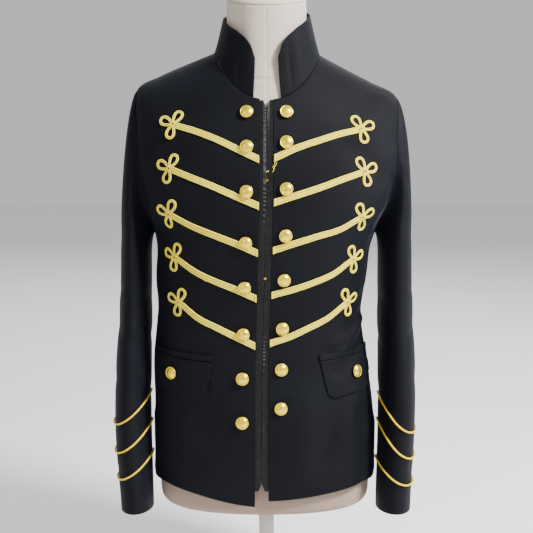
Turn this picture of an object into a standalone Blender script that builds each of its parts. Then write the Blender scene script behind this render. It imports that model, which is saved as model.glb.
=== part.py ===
"""Napoleon jacket on a dress form.

Metres, +Z up. The wearer faces -Y, so the wearer's left is +X. The origin is
under the middle of the stand's round base. The cloth follows one torso surface,
torso(phi, t): phi runs round the body from the centre front, t counts the rings
of RINGS from the hem to the neckline.
"""
import bpy
import bmesh
import numpy as np
from functools import lru_cache
from math import cos, pi, radians, sin
from mathutils import Matrix, Vector

# Cloth and seams
WALL = 0.0015
SEAM = 0.0007
ARMHOLE_SEAM = 0.0011
LAID_ON = 0.0007

# Torso rings, hem to neckline; heights at side, front and back, then sizes
RING_COLUMNS = ("z_side", "z_front", "z_back", "half_width", "shift",
                "y_front", "y_back", "y_side", "tilt", "climb", "form_gap")
RINGS = np.array((
    (0.2190, 0.2040, 0.2120, 0.1815, -0.0030, -0.1180, 0.1200, 0.000, 0.000, 1.9, 0.0085),
    (0.2640, 0.2560, 0.2600, 0.1800, -0.0030, -0.1160, 0.1190, 0.000, 0.000, 2.3, 0.0080),
    (0.3310, 0.3280, 0.3300, 0.1775, -0.0045, -0.1130, 0.1150, 0.000, 0.000, 3.0, 0.0065),
    (0.4000, 0.3990, 0.4000, 0.1730, -0.0100, -0.1080, 0.1050, 0.000, 0.000, 3.5, 0.0060),
    (0.4640, 0.4640, 0.4640, 0.1660, -0.0115, -0.1040, 0.0980, 0.000, 0.000, 3.5, 0.0058),
    (0.5350, 0.5350, 0.5350, 0.1690, -0.0085, -0.1100, 0.1020, 0.000, 0.000, 3.5, 0.0056),
    (0.6050, 0.6050, 0.6050, 0.1765, -0.0025, -0.1190, 0.1120, 0.000, 0.000, 3.5, 0.0052),
    (0.6600, 0.6420, 0.6520, 0.2040, 0.0000, -0.1200, 0.1130, 0.002, 0.002, 3.5, 0.0045),
    (0.7200, 0.6800, 0.7030, 0.2150, 0.0008, -0.1170, 0.1110, 0.005, 0.010, 3.5, 0.0028),
    (0.7780, 0.7160, 0.7560, 0.2140, 0.0010, -0.1110, 0.1060, 0.008, 0.018, 3.5, 0.0025),
    (0.8260, 0.7480, 0.8030, 0.2040, 0.0000, -0.1040, 0.0970, 0.010, 0.025, 3.4, 0.0021),
    (0.8465, 0.7710, 0.8370, 0.1670, -0.0010, -0.0980, 0.0870, 0.010, 0.030, 3.1, 0.0018),
    (0.8670, 0.7930, 0.8660, 0.1225, 0.0000, -0.0900, 0.0770, 0.008, 0.030, 2.7, 0.0021),
    (0.8850, 0.8130, 0.8930, 0.0830, 0.0010, -0.0790, 0.0680, 0.004, 0.020, 2.3, 0.0022),
))
T_HEM, T_ARMPIT, T_TIP, T_NECK = 0.0, 6.0, 10.0, 13.0
BOX = 0.10
ARMHOLE_ANGLE = 0.42

# Largest folds of the torso: a soft ridge or trough from one point to another
# Columns: phi_a, z_a, phi_b, z_b, half_width, depth
FOLD_REACH = 0.12
TORSO_FOLDS = (
    (1.42, 0.580, 1.08, 0.630, 0.020, -0.0030),
    (-1.42, 0.575, -1.10, 0.618, 0.020, -0.0024),
    (1.50, 0.486, 1.00, 0.458, 0.017, -0.0028),
    (-1.50, 0.488, -1.05, 0.462, 0.017, -0.0022),
    (1.75, 0.470, 2.55, 0.440, 0.020, -0.0030),
    (-1.75, 0.475, -2.50, 0.445, 0.020, -0.0030),
    (2.10, 0.640, 2.45, 0.560, 0.022, -0.0028),
    (-2.10, 0.640, -2.40, 0.550, 0.022, -0.0028),
    (2.60, 0.300, 2.45, 0.215, 0.030, 0.0040),
    (-2.60, 0.300, -2.50, 0.215, 0.030, 0.0036),
    (0.85, 0.290, 0.80, 0.215, 0.030, 0.0030),
    (-0.90, 0.280, -0.85, 0.215, 0.030, 0.0026),
)

# Front edges and hem corners
CENTRE_DRIFT = -0.0075
DRIFT_TOP, DRIFT_BOTTOM = 0.70, 0.35
EDGE_HALF = 0.0105
DIP = {1: 0.0055, -1: 0.0150}
DIP_ANGLE = 0.52

# Sleeve sections below the cap, wearer's left; y_mid moves the cuff forward
SLEEVE_COLUMNS = ("z", "x_out", "x_in", "y_mid", "half_depth", "right_trim")
SLEEVE = np.array((
    (0.560, 0.2355, 0.1835, 0.006, 0.0710, 0.0055),
    (0.500, 0.2390, 0.1835, 0.003, 0.0700, 0.0055),
    (0.435, 0.2420, 0.1825, -0.004, 0.0680, 0.0042),
    (0.360, 0.2440, 0.1845, -0.014, 0.0640, 0.0025),
    (0.290, 0.2425, 0.1840, -0.026, 0.0600, 0.0010),
    (0.230, 0.2385, 0.1815, -0.037, 0.0560, 0.0018),
    (0.165, 0.2340, 0.1795, -0.047, 0.0530, 0.0040),
))
SLEEVE_SHIFT = -0.0030
CUFF_SLOPE = 0.08
CAP_REACH_TOP = {1: 0.021, -1: 0.017}
CAP_REACH_LOW = 0.004
# Columns: turn, z, half_turn, half_height, slope, depth
SLEEVE_FOLDS = (
    (0.9, 0.475, 0.9, 0.028, 0.020, -0.0024),
    (2.4, 0.425, 0.8, 0.026, -0.015, -0.0024),
    (4.6, 0.455, 1.0, 0.030, 0.018, -0.0028),
    (1.6, 0.640, 0.8, 0.030, 0.030, -0.0026),
    (4.7, 0.650, 0.8, 0.030, -0.030, -0.0026),
)

# Collar: seam to the neckline ring, and the height of its edge round the neck
COLLAR_FRONT_X = 0.021
COLLAR_TOP_HALF_WIDTH = 0.0680
COLLAR_TOP_FRONT = -0.0740
COLLAR_TOP_BACK = 0.0650
# Free edge, columns: degrees round from the centre front, z
COLLAR_EDGE = ((13, 0.870), (17, 0.891), (25, 0.905), (41, 0.919),
               (62, 0.930), (90, 0.9425), (130, 0.953), (180, 0.957))
COLLAR_TILT = 0.045

# Closure tapes
TAPE_RECESS = 0.0006
TAPE_THICK = 0.0010
TAPE_FLAT = 0.55
TAPE_TOP, TAPE_NOTCH_TOP = 0.8120, 0.8010
TAPE_FOOT, TAPE_NOTCH_FOOT = 0.2140, 0.2270

# Buttons: profile of (radius, height above the panel), then heights on each side
BUTTON_DOME = ((0.0, 0.0068), (0.0070, 0.0055), (0.0100, 0.0038), (0.0100, 0.0023))
BUTTON_SHANK = ((0.0025, 0.0023), (0.0025, 0.0), (0.0, 0.0))
BUTTON_FLAT = ((0.0, 0.0023),)
OVER_BRAID = ("right_4", "right_5", "right_6")
SEAT_DROP = 0.0004
BUTTON_HALF = 0.0295
BUTTON_Z = {
    -1: (0.793, 0.742, 0.676, 0.600, 0.531, 0.458, 0.390, 0.322),
    1: (0.793, 0.7485, 0.680, 0.611, 0.543, 0.467, 0.404, 0.344),
}

# Braids: a bar of two cords side by side, and a trefoil of three loops
BRAID_THICK, BRAID_LIFT = 0.0012, 0.00095
BAR_HALF, BAR_HALF_HUB = 0.0052, 0.0047
BRAID_COLUMNS = ("inner_z", "hub_x", "hub_z", "sag_1", "sag_2", "sag_3")
BRAIDS = {
    -1: (
        (0.7236, 0.1411, 0.7752, 0.0022, 0.0043, 0.0034),
        (0.6550, 0.1468, 0.7095, 0.0004, 0.0012, 0.0006),
        (0.5843, 0.1476, 0.6409, 0.0003, -0.0012, -0.0024),
        (0.5138, 0.1402, 0.5742, -0.0010, -0.0041, -0.0051),
        (0.4400, 0.1350, 0.5040, -0.0022, -0.0043, -0.0063),
    ),
    1: (
        (0.7252, 0.1428, 0.7684, 0.0038, 0.0040, 0.0032),
        (0.6599, 0.1483, 0.7050, -0.0004, -0.0008, 0.0001),
        (0.5883, 0.1446, 0.6364, -0.0012, -0.0032, -0.0057),
        (0.5189, 0.1329, 0.5706, -0.0046, -0.0075, -0.0080),
        (0.4439, 0.1248, 0.5027, -0.0049, -0.0065, -0.0071),
    ),
}
# Columns: degrees from outward towards up, length
LOOPS = ((22, 0.0245), (115, 0.0245), (-77, 0.0235))
LOOP_POWER = 2.6
HOLE_CENTRE, HOLE_HALF_LENGTH, HOLE_HALF_WIDTH = 0.60, 0.0055, 0.0032
HOLE_SIDES, HEAD_POINTS = 6, 26

# Pockets
FLAP_X, FLAP_LENGTH = 0.0825, 0.116
FLAP_DEPTH, FLAP_TAPER = 0.060, 0.009
FLAP_TOP, FLAP_RISE = 0.4140, 0.006
FLAP_CORNER, FLAP_SLANT = 0.016, 0.006
FLAP_THICK = 0.0014
FLAP_LIFT = 0.0010
WELT_GAP, WELT_DEPTH, WELT_THICK = 0.0016, 0.0080, 0.0012
POCKET_BUTTON_X = {1: 0.139, -1: 0.146}
POCKET_BUTTON_Z = 0.392

# Cuff cords: height at the sleeve's outer and inner side
CUFF_CORD_RADIUS = 0.0015
# Columns: z at the outer side, z at the inner side
CUFF_CORDS = {
    -1: ((0.3040, 0.3480), (0.2590, 0.3010), (0.2170, 0.2520)),
    1: ((0.2930, 0.3450), (0.2520, 0.3030), (0.2100, 0.2420)),
}
CUFF_CORD_BEND = {-1: 1.6, 1: 2.2}

# Dress form and stand
FORM_BOTTOM = 0.168
NECK_RINGS = ((0.893, 0.0660, 0.0630, -0.002, 0.28), (0.925, 0.0625, 0.0605, -0.003, 0.28),
              (0.969, 0.0616, 0.0605, -0.004, 0.28))
NECK_CAP_HEIGHT = 0.020
BASE_RADIUS, BASE_THICK = 0.155, 0.012
POLE_RADIUS = 0.0125
PART_GAP = 0.0003

# Mesh density
TORSO_COLUMNS, BACK_COLUMNS, SLEEVE_TURNS = 11, 16, 18
LOWER_ROWS, ARM_ROWS, SHOULDER_ROWS = 13, 9, 7
FORM_COLUMNS, TAPE_ROWS = 24, 22

COLOURS = {
    "cloth": ((0.010, 0.011, 0.014, 1.0), 0.85, 0.0),
    "tape": ((0.006, 0.006, 0.007, 1.0), 0.45, 0.0),
    "braid": ((0.80, 0.62, 0.22, 1.0), 0.45, 0.0),
    "metal": ((0.83, 0.60, 0.23, 1.0), 0.25, 1.0),
    "linen": ((0.62, 0.54, 0.46, 1.0), 0.90, 0.0),
    "stand": ((0.75, 0.72, 0.68, 1.0), 0.40, 0.0),
}
SIDES = {"left": 1, "right": -1}


def clear_scene():
    for thing in list(bpy.data.objects):
        bpy.data.objects.remove(thing, do_unlink=True)


def collection(name):
    group = bpy.data.collections.new(name)
    bpy.context.scene.collection.children.link(group)
    return group


def material(finish, name):
    colour, roughness, metallic = COLOURS[finish]
    made = bpy.data.materials.new(name)
    made.use_nodes = True
    shader = made.node_tree.nodes["Principled BSDF"]
    shader.inputs["Base Color"].default_value = colour
    shader.inputs["Roughness"].default_value = roughness
    shader.inputs["Metallic"].default_value = metallic
    return made


def spline(values, t):
    """Smooth curve through evenly numbered values, read at t."""
    last = len(values) - 1
    t = np.clip(np.asarray(t, float), 0, last)
    i = np.minimum(t.astype(int), last - 1)
    f = t - i
    a, b = values[i], values[i + 1]
    slope_a = (b - values[np.maximum(i - 1, 0)]) / 2
    slope_b = (values[np.minimum(i + 2, last)] - a) / 2
    return (a * (2 * f**3 - 3 * f**2 + 1) + slope_a * (f**3 - 2 * f**2 + f)
            + b * (3 * f**2 - 2 * f**3) + slope_b * (f**3 - f**2))


def ring(name, t):
    return spline(RINGS[:, RING_COLUMNS.index(name)], t)


def torso(phi, t):
    """Point of the cloth's outer surface before folds, as an array ending in x, y, z."""
    phi, t = np.broadcast_arrays(np.asarray(phi, float), np.asarray(t, float))
    s, c = np.sin(phi), np.cos(phi)
    depth = np.where(c > 0, -ring("y_front", t), ring("y_back", t))
    end_z = np.where(c > 0, ring("z_front", t), ring("z_back", t))
    x = ring("half_width", t) * s * (1 + BOX * c**2)
    y = ring("y_side", t) * s**2 - depth * c * (1 + BOX * s**2)
    z = end_z + (ring("z_side", t) - end_z) * np.abs(s)**ring("climb", t) - ring("tilt", t) * x
    return np.stack((x + ring("shift", t), y, z), axis=-1)


def normal(surface, u, v, step=1e-3):
    """Unit normal of a surface, pointing away from the body."""
    along_u = surface(u + step, v) - surface(u - step, v)
    along_v = surface(u, v + step) - surface(u, v - step)
    out = np.cross(along_u, along_v)
    return out / np.linalg.norm(out, axis=-1, keepdims=True)


def torso_folds(phi, z):
    total = np.zeros(np.broadcast(phi, z).shape)
    for phi_a, z_a, phi_b, z_b, half_width, depth in TORSO_FOLDS:
        run = np.array(((phi_b - phi_a) * FOLD_REACH, z_b - z_a))
        rel_x = np.angle(np.exp(1j * (phi - phi_a))) * FOLD_REACH
        rel_z = z - z_a
        part = np.clip((rel_x * run[0] + rel_z * run[1]) / (run @ run), 0, 1)
        away = np.hypot(rel_x - part * run[0], rel_z - part * run[1])
        total = total + depth * np.exp(-(away / half_width)**2)
    return total


def inside(t, low=T_HEM, high=T_NECK):
    return np.clip(t, low + 2e-3, high - 2e-3)


def cloth(phi, t, lift=0.0):
    """Point of the cloth's outer surface with its folds, moved out by lift."""
    flat = torso(phi, t)
    out = normal(torso, phi, inside(t))
    return flat + out * (torso_folds(phi, flat[..., 2]) + lift)[..., None]


def centre_x(z):
    part = np.clip((DRIFT_TOP - z) / (DRIFT_TOP - DRIFT_BOTTOM), 0, 1)
    return CENTRE_DRIFT * part * part * (3 - 2 * part)


def t_at(phi, z):
    """Ring number where the surface has height z, at angle phi."""
    low = np.full(np.broadcast(phi, z).shape, T_HEM)
    high = np.full(low.shape, T_NECK)
    for _ in range(30):
        middle = (low + high) / 2
        above = torso(phi, middle)[..., 2] > z
        high = np.where(above, middle, high)
        low = np.where(above, low, middle)
    return (low + high) / 2


def front_place(x, z):
    """Angle and ring number of the surface point seen from the front at x, z."""
    x, z = np.broadcast_arrays(np.asarray(x, float), np.asarray(z, float))
    phi = np.arcsin(np.clip(x / 0.2, -0.95, 0.95))
    for _ in range(14):
        t = t_at(phi, z)
        reach = ring("half_width", t) * (1 + BOX * np.cos(phi)**2)
        phi = np.arcsin(np.clip((x - ring("shift", t)) / reach, -0.998, 0.998))
    return phi, t_at(phi, z)


def wrap(side, z, count=160):
    """Arc length against angle along the section at height z, from x = 0 outward."""
    phi = np.linspace(0, side * (pi / 2 + 0.15), count)
    points = torso(phi, t_at(phi, np.full(count, z)))
    steps = np.linalg.norm(np.diff(points, axis=0), axis=1)
    return np.concatenate(((0,), np.cumsum(steps))), phi, points[:, 0]


def on_panel(side, phi, t, lift):
    """Point of the front panel's own facets, moved out by lift."""
    rows, inner, outer, points = front_grid(side)
    edge, seam = np.interp(t, rows, inner), np.interp(t, rows, outer)
    across = np.clip((phi - edge) / (seam - edge), 0, 1) * TORSO_COLUMNS
    col = np.minimum(across.astype(int), TORSO_COLUMNS - 1)
    row = np.clip(np.searchsorted(rows, t) - 1, 0, len(rows) - 2)
    f = (across - col)[..., None]
    g = ((t - rows[row]) / (rows[row + 1] - rows[row]))[..., None]
    low = points[row, col] * (1 - f) + points[row, col + 1] * f
    high = points[row + 1, col] * (1 - f) + points[row + 1, col + 1] * f
    return low * (1 - g) + high * g + normal(torso, phi, inside(t)) * lift


def wrapped(side, arc, z, at_z, lift):
    """Panel point at an arc length out from x = 0 and a height."""
    lengths, angles, _ = wrap(side, at_z)
    phi = np.interp(arc, lengths, angles)
    return on_panel(side, phi, t_at(phi, z), lift)


def arc_of(side, x, z):
    lengths, _, xs = wrap(side, z)
    rising = np.maximum.accumulate(side * xs)
    return float(np.interp(side * x, rising, lengths))


def new_object(name, mesh, group, finish):
    made = bpy.data.objects.new(name, mesh)
    made.data.materials.append(material(finish, name + "_finish"))
    group.objects.link(made)
    return made


def grid_object(name, points, group, finish, closed=False):
    """Surface through rows of points; closed joins the last column to the first."""
    rows, columns = points.shape[:2]
    mesh = bpy.data.meshes.new(name)
    work = bmesh.new()
    verts = [[work.verts.new(point) for point in row] for row in points.tolist()]
    for row in range(rows - 1):
        for col in range(columns if closed else columns - 1):
            nxt = (col + 1) % columns
            work.faces.new((verts[row][col], verts[row][nxt],
                            verts[row + 1][nxt], verts[row + 1][col]))
    work.normal_update()
    work.to_mesh(mesh)
    work.free()
    mesh.shade_smooth()
    return new_object(name, mesh, group, finish)


def thicken(thing, thickness):
    """Wall of this thickness, inward of the modelled surface."""
    shell = thing.modifiers.new("Wall", "SOLIDIFY")
    shell.thickness = thickness
    shell.offset = -1
    shell.use_rim = True
    return thing


def face_outward(points, side):
    """Column order that makes the grid's faces point away from the body."""
    return points if side > 0 else points[:, ::-1]


def armhole_angle(t):
    """How far the armhole's edge lies from the side line, at ring number t."""
    along = np.clip(2 * (t - T_ARMPIT) / (T_TIP - T_ARMPIT) - 1, -1, 1)
    return ARMHOLE_ANGLE * np.sqrt(1 - along**2)


def panel_rows():
    lower = np.linspace(T_HEM, T_ARMPIT, LOWER_ROWS, endpoint=False)
    turn = np.linspace(0, pi, ARM_ROWS, endpoint=False)
    arm = T_ARMPIT + (T_TIP - T_ARMPIT) * (1 - np.cos(turn)) / 2
    return np.concatenate((lower, arm, np.linspace(T_TIP, T_NECK, SHOULDER_ROWS)))


def edge_angle(side, t, half):
    """Angle at which the surface is half away from the centre front line."""
    phi = np.zeros(np.shape(t))
    for _ in range(12):
        z = torso(phi, t)[..., 2]
        reach = ring("half_width", t) * (1 + BOX * np.cos(phi)**2)
        phi = np.arcsin((centre_x(z) + side * half - ring("shift", t)) / reach)
    return phi


def hem_dip(points, phi, t, side):
    """Lower the hem towards the front corner."""
    near = np.exp(-(phi / DIP_ANGLE)**2) * np.clip(1 - t / 1.5, 0, 1)**2
    points[..., 2] -= DIP[side] * near
    return points


@lru_cache
def front_grid(side):
    """Rows, edge angles and points of a front panel, from its front edge outward."""
    t = panel_rows()
    inner = edge_angle(side, t, EDGE_HALF)
    outer = side * (pi / 2 - SEAM / 2 / np.abs(ring("y_front", t)) - armhole_angle(t))
    part = np.linspace(0, 1, TORSO_COLUMNS + 1)
    phi = inner[:, None] + (outer - inner)[:, None] * part
    rows = np.broadcast_to(t[:, None], phi.shape)
    return t, inner, outer, hem_dip(cloth(phi, rows), phi, rows, side)


def build_front(name, side, group):
    points = front_grid(side)[-1]
    return thicken(grid_object(name, face_outward(points, side), group, "cloth"), WALL)


def build_back(name, group):
    t = panel_rows()
    start = pi / 2 + SEAM / 2 / ring("y_back", t) + armhole_angle(t)
    part = np.linspace(0, 1, BACK_COLUMNS + 1)
    phi = start[:, None] + (2 * pi - 2 * start)[:, None] * part
    rows = np.broadcast_to(t[:, None], phi.shape)
    return thicken(grid_object(name, cloth(phi, rows), group, "cloth"), WALL)


def armhole_loop(side, turn):
    """Sleeve seam points: turn 0 is the shoulder tip, pi / 2 the front, pi the armpit."""
    shrink = ARMHOLE_SEAM / 0.11
    spread = ARMHOLE_ANGLE - shrink
    middle, half = (T_TIP + T_ARMPIT) / 2, (T_TIP - T_ARMPIT) / 2 - ARMHOLE_SEAM / 0.055
    phi = side * (pi / 2 - spread * np.sin(turn))
    return cloth(phi, middle + half * np.cos(turn))


def sleeve_value(name, z):
    table = SLEEVE[::-1]
    return np.interp(z, table[:, 0], table[:, SLEEVE_COLUMNS.index(name)])


def smooth_sleeve_value(name, z):
    """The table's column, smoothed over neighbouring heights."""
    return sum(sleeve_value(name, z + step) for step in (-0.03, -0.015, 0, 0.015, 0.03)) / 5


def sleeve_section(side, turn, z):
    """Point of the hanging sleeve's outer surface at a turn and a height."""
    out, inn = smooth_sleeve_value("x_out", z), smooth_sleeve_value("x_in", z)
    out = out - (smooth_sleeve_value("right_trim", z) if side < 0 else 0)
    x = (out + inn) / 2 + (out - inn) / 2 * np.cos(turn)
    y = smooth_sleeve_value("y_mid", z) - smooth_sleeve_value("half_depth", z) * np.sin(turn)
    return np.stack((side * x + SLEEVE_SHIFT, y, z + 0 * x), axis=-1)


def sleeve_bump(turn, z):
    total = np.zeros(np.broadcast(turn, z).shape)
    for at, height, half_turn, half_height, slope, depth in SLEEVE_FOLDS:
        away = np.angle(np.exp(1j * (turn - at)))
        rise = (z - height - slope * away) / half_height
        total = total + depth * np.exp(-rise**2 - (away / half_turn)**2)
    return total


def sleeve_surface(side, turn, row):
    """Row 0 to 1 is the cap, blended from the armhole; row 1 to 2 hangs to the cuff."""
    turn, row = np.broadcast_arrays(turn, row)
    head = armhole_loop(side, turn)
    top_z = SLEEVE[0, 0]
    join = sleeve_section(side, turn, np.full(turn.shape, top_z))
    high = (1 + np.cos(turn)) / 2
    reach = CAP_REACH_LOW + (CAP_REACH_TOP[side] - CAP_REACH_LOW) * high**0.6
    leave = np.stack((side * reach, 0 * reach, -0.25 * reach * high), axis=-1)
    drop = (head[..., 2:] - top_z) * 0.42
    arrive = np.concatenate((0 * drop, 0 * drop, drop), axis=-1)
    u = np.clip(row, 0, 1)[..., None]
    cap = (head * (1 - u)**3 + 3 * (head + leave) * u * (1 - u)**2
           + 3 * (join + arrive) * u**2 * (1 - u) + join * u**3)
    low_z = SLEEVE[-1, 0]
    down = top_z + (low_z - top_z) * np.clip(row - 1, 0, 1)
    hang = sleeve_section(side, turn, down)
    tube = np.where(row[..., None] <= 1, cap, hang)
    out = np.stack((side * np.cos(turn), -np.sin(turn), 0 * turn), axis=-1)
    lower = np.clip(row - 1, 0, 1)
    tube = tube + out * (sleeve_bump(turn, tube[..., 2]) * np.clip(row * 2, 0, 1))[..., None]
    tube[..., 2] += -CUFF_SLOPE * (tube[..., 1] - SLEEVE[-1, 3]) * lower**4
    return tube


def sleeve_rows():
    cap = np.array((0, 0.12, 0.26, 0.42, 0.60, 0.80))
    return np.concatenate((cap, np.linspace(1, 2, 13)))


def sleeve_turns():
    return np.linspace(0, 2 * pi, SLEEVE_TURNS, endpoint=False)


def build_sleeve(name, side, group):
    turn, row = np.meshgrid(sleeve_turns(), sleeve_rows())
    points = sleeve_surface(side, turn, row)
    sleeve = grid_object(name, face_outward(points, side), group, "cloth", closed=True)
    return thicken(sleeve, WALL)


def collar_point(phi, rise):
    """Point of the collar: rise 0 on the neckline, 1 on its free edge."""
    foot = torso(phi, np.full(np.shape(phi), T_NECK))
    foot[..., 2] += ARMHOLE_SEAM
    s, c = np.sin(phi), np.cos(phi)
    degrees, heights = np.array(COLLAR_EDGE).T
    top_z = np.interp(np.degrees(np.arccos(np.clip(c, -1, 1))), degrees, heights)
    depth = np.where(c > 0, -COLLAR_TOP_FRONT, COLLAR_TOP_BACK)
    top_x = COLLAR_TOP_HALF_WIDTH * s * (1 + BOX * c**2)
    top = np.stack((top_x, -depth * c, top_z + COLLAR_TILT * top_x), axis=-1)
    lean = rise[..., None]**0.85
    flat = foot + (top - foot) * np.concatenate((lean, lean, rise[..., None]), axis=-1)
    return flat


def build_collar(name, group):
    start = float(np.arcsin(COLLAR_FRONT_X / 0.0905))
    near = np.linspace(0, 1, 5)**1.3 * 0.35
    quarter = np.concatenate((start + near, np.linspace(start + 0.35, pi, 11)[1:]))
    phi = np.concatenate((quarter, 2 * pi - quarter[-2::-1]))
    rows, angles = np.meshgrid(np.linspace(0, 1, 5), phi, indexing="ij")
    return thicken(grid_object(name, collar_point(angles, rows), group, "cloth"), WALL)


def build_tape(name, side, group):
    """One strip of the closure, notched at the top and the foot."""
    part = np.array((0, TAPE_FLAT, 1))
    across = EDGE_HALF - 0.0004 - (EDGE_HALF - 0.0007) * part
    notch = np.clip((part - TAPE_FLAT) / (1 - TAPE_FLAT), 0, 1)
    top = TAPE_TOP + (TAPE_NOTCH_TOP - TAPE_TOP) * notch
    foot = TAPE_FOOT + (TAPE_NOTCH_FOOT - TAPE_FOOT) * notch
    rise = np.linspace(0, 1, TAPE_ROWS)[:, None]
    z = foot + (top - foot) * rise
    phi, t = front_place(centre_x(z) + side * across, z)
    points = cloth(phi, t, -TAPE_RECESS)
    points = points if side < 0 else points[:, ::-1]
    return thicken(grid_object(name, points, group, "tape"), TAPE_THICK)


def seat(name, profile, x, z, lift, group, finish, segments=10):
    """Turned piece standing on the front at x, z with its axis along the normal."""
    mesh = bpy.data.meshes.new(name)
    points = [(radius, 0.0, height) for radius, height in profile]
    mesh.from_pydata(points, [(i, i + 1) for i in range(len(points) - 1)], [])
    made = new_object(name, mesh, group, finish)
    turned = made.modifiers.new("Turn", "SCREW")
    turned.steps = turned.render_steps = segments
    turned.use_merge_vertices = True
    turned.merge_threshold = 1e-5
    phi, t = front_place(x, z)
    foot = Vector(cloth(phi, t, lift))
    axis = Vector(normal(torso, phi, t))
    made.matrix_world = Matrix.Translation(foot) @ axis.to_track_quat("Z", "Y").to_matrix().to_4x4()
    return made


def settle(points, phi, t, step=1e-3):
    """Angle and ring number of the surface points nearest to these points."""
    phi, t = np.full(points.shape[:-1], float(phi)), np.full(points.shape[:-1], float(t))
    for _ in range(6):
        a = (torso(phi + step, t) - torso(phi - step, t)) / (2 * step)
        b = (torso(phi, t + step) - torso(phi, t - step)) / (2 * step)
        gap = points - torso(phi, t)
        aa, ab, bb = (a * a).sum(axis=-1), (a * b).sum(axis=-1), (b * b).sum(axis=-1)
        ga, gb = (a * gap).sum(axis=-1), (b * gap).sum(axis=-1)
        spread = aa * bb - ab**2
        phi = phi + (ga * bb - gb * ab) / spread
        t = np.clip(t + (gb * aa - ga * ab) / spread, T_HEM, T_NECK)
    return phi, t


def hub_frame(side, row):
    """The trefoil's hub on the surface, and its outward and upward directions."""
    phi, t = front_place(side * row["hub_x"], row["hub_z"])
    out = normal(torso, phi, t)
    level = np.array((-out[1], out[0], 0.0)) * side
    level /= np.linalg.norm(level)
    return phi, t, torso(phi, t), level, side * np.cross(out, level)


def on_hub(side, row, flat):
    """Angle and ring number of points given flat round the hub, outward and up."""
    phi, t, hub, level, up = hub_frame(side, row)
    flat = np.asarray(flat)
    return settle(hub + flat[..., :1] * level + flat[..., 1:] * up, phi, t)


def bar_line(side, row, part):
    """Front view place of the bar's middle line, from part 0, inner, to 1, the hub."""
    start = float(centre_x(row["inner_z"])) + side * (EDGE_HALF + 0.0005)
    x = start + (side * row["hub_x"] - start) * part
    sag = np.interp(part, (0, 0.25, 0.5, 0.75, 1), (0, row["sag_1"], row["sag_2"], row["sag_3"], 0))
    return x, row["inner_z"] + (row["hub_z"] - row["inner_z"]) * part + sag


def bar_edges(side, row, part, shares):
    """Angle and ring number across the bar; share -1 is its lower edge and 1 its upper."""
    x, z = bar_line(side, row, part)
    points = torso(*front_place(x, z))
    run = np.gradient(points, axis=0)
    level = np.hypot(run[:, 0], run[:, 1]) / np.linalg.norm(run, axis=1)
    half = (BAR_HALF + (BAR_HALF_HUB - BAR_HALF) * part) / level
    return front_place(x[:, None] + 0 * np.asarray(shares), z[:, None] + half[:, None] * np.asarray(shares))


def loop_reach(angle):
    """Outer edge of the trefoil as seen from its hub."""
    reach = 0.0
    for degrees, length in LOOPS:
        away = max(cos(angle - radians(degrees)), 0)
        reach = max(reach, length * away**LOOP_POWER)
    return reach


def head_outline(back):
    """Outline of the trefoil round its hub, left open at the angle of the bar."""
    head = []
    for step in range(HEAD_POINTS):
        angle = back - 2 * pi * (step + 0.5) / HEAD_POINTS
        reach = loop_reach(angle)
        clear = abs(reach * sin(angle - back)) > BAR_HALF * 1.05
        if clear or cos(angle - back) < 0:
            reach = max(reach, BAR_HALF * 1.2)
            head.append((reach * cos(angle), reach * sin(angle)))
    return head


def hole_outline(degrees, length):
    angle = radians(degrees)
    points = []
    for step in range(HOLE_SIDES):
        turn = 2 * pi * step / HOLE_SIDES
        out = length * HOLE_CENTRE + HOLE_HALF_LENGTH * cos(turn)
        across = HOLE_HALF_WIDTH * sin(turn)
        points.append((out * cos(angle) - across * sin(angle),
                       out * sin(angle) + across * cos(angle)))
    return points


def filled_outline(name, outlines):
    """Flat mesh of closed outlines, the first round the others."""
    curve = bpy.data.curves.new(name + "_outline", "CURVE")
    curve.dimensions = "2D"
    curve.fill_mode = "BOTH"
    for outline in outlines:
        line = curve.splines.new("POLY")
        line.points.add(len(outline) - 1)
        line.use_cyclic_u = True
        for point, (s, z) in zip(line.points, outline):
            point.co = (s, z, 0, 1)
    drawn = bpy.data.objects.new(name + "_outline", curve)
    bpy.context.scene.collection.objects.link(drawn)
    ready = drawn.evaluated_get(bpy.context.evaluated_depsgraph_get())
    mesh = bpy.data.meshes.new_from_object(ready)
    bpy.data.objects.remove(drawn, do_unlink=True)
    return mesh


def even_out(mesh):
    """Weld the outline's fill and turn its long triangles into short ones."""
    work = bmesh.new()
    work.from_mesh(mesh)
    bmesh.ops.remove_doubles(work, verts=work.verts, dist=1e-5)
    bmesh.ops.triangulate(work, faces=work.faces)
    inner = [edge for edge in work.edges if not edge.is_boundary]
    bmesh.ops.beautify_fill(work, faces=work.faces, edges=inner, method="AREA")
    work.to_mesh(mesh)
    work.free()


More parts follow.
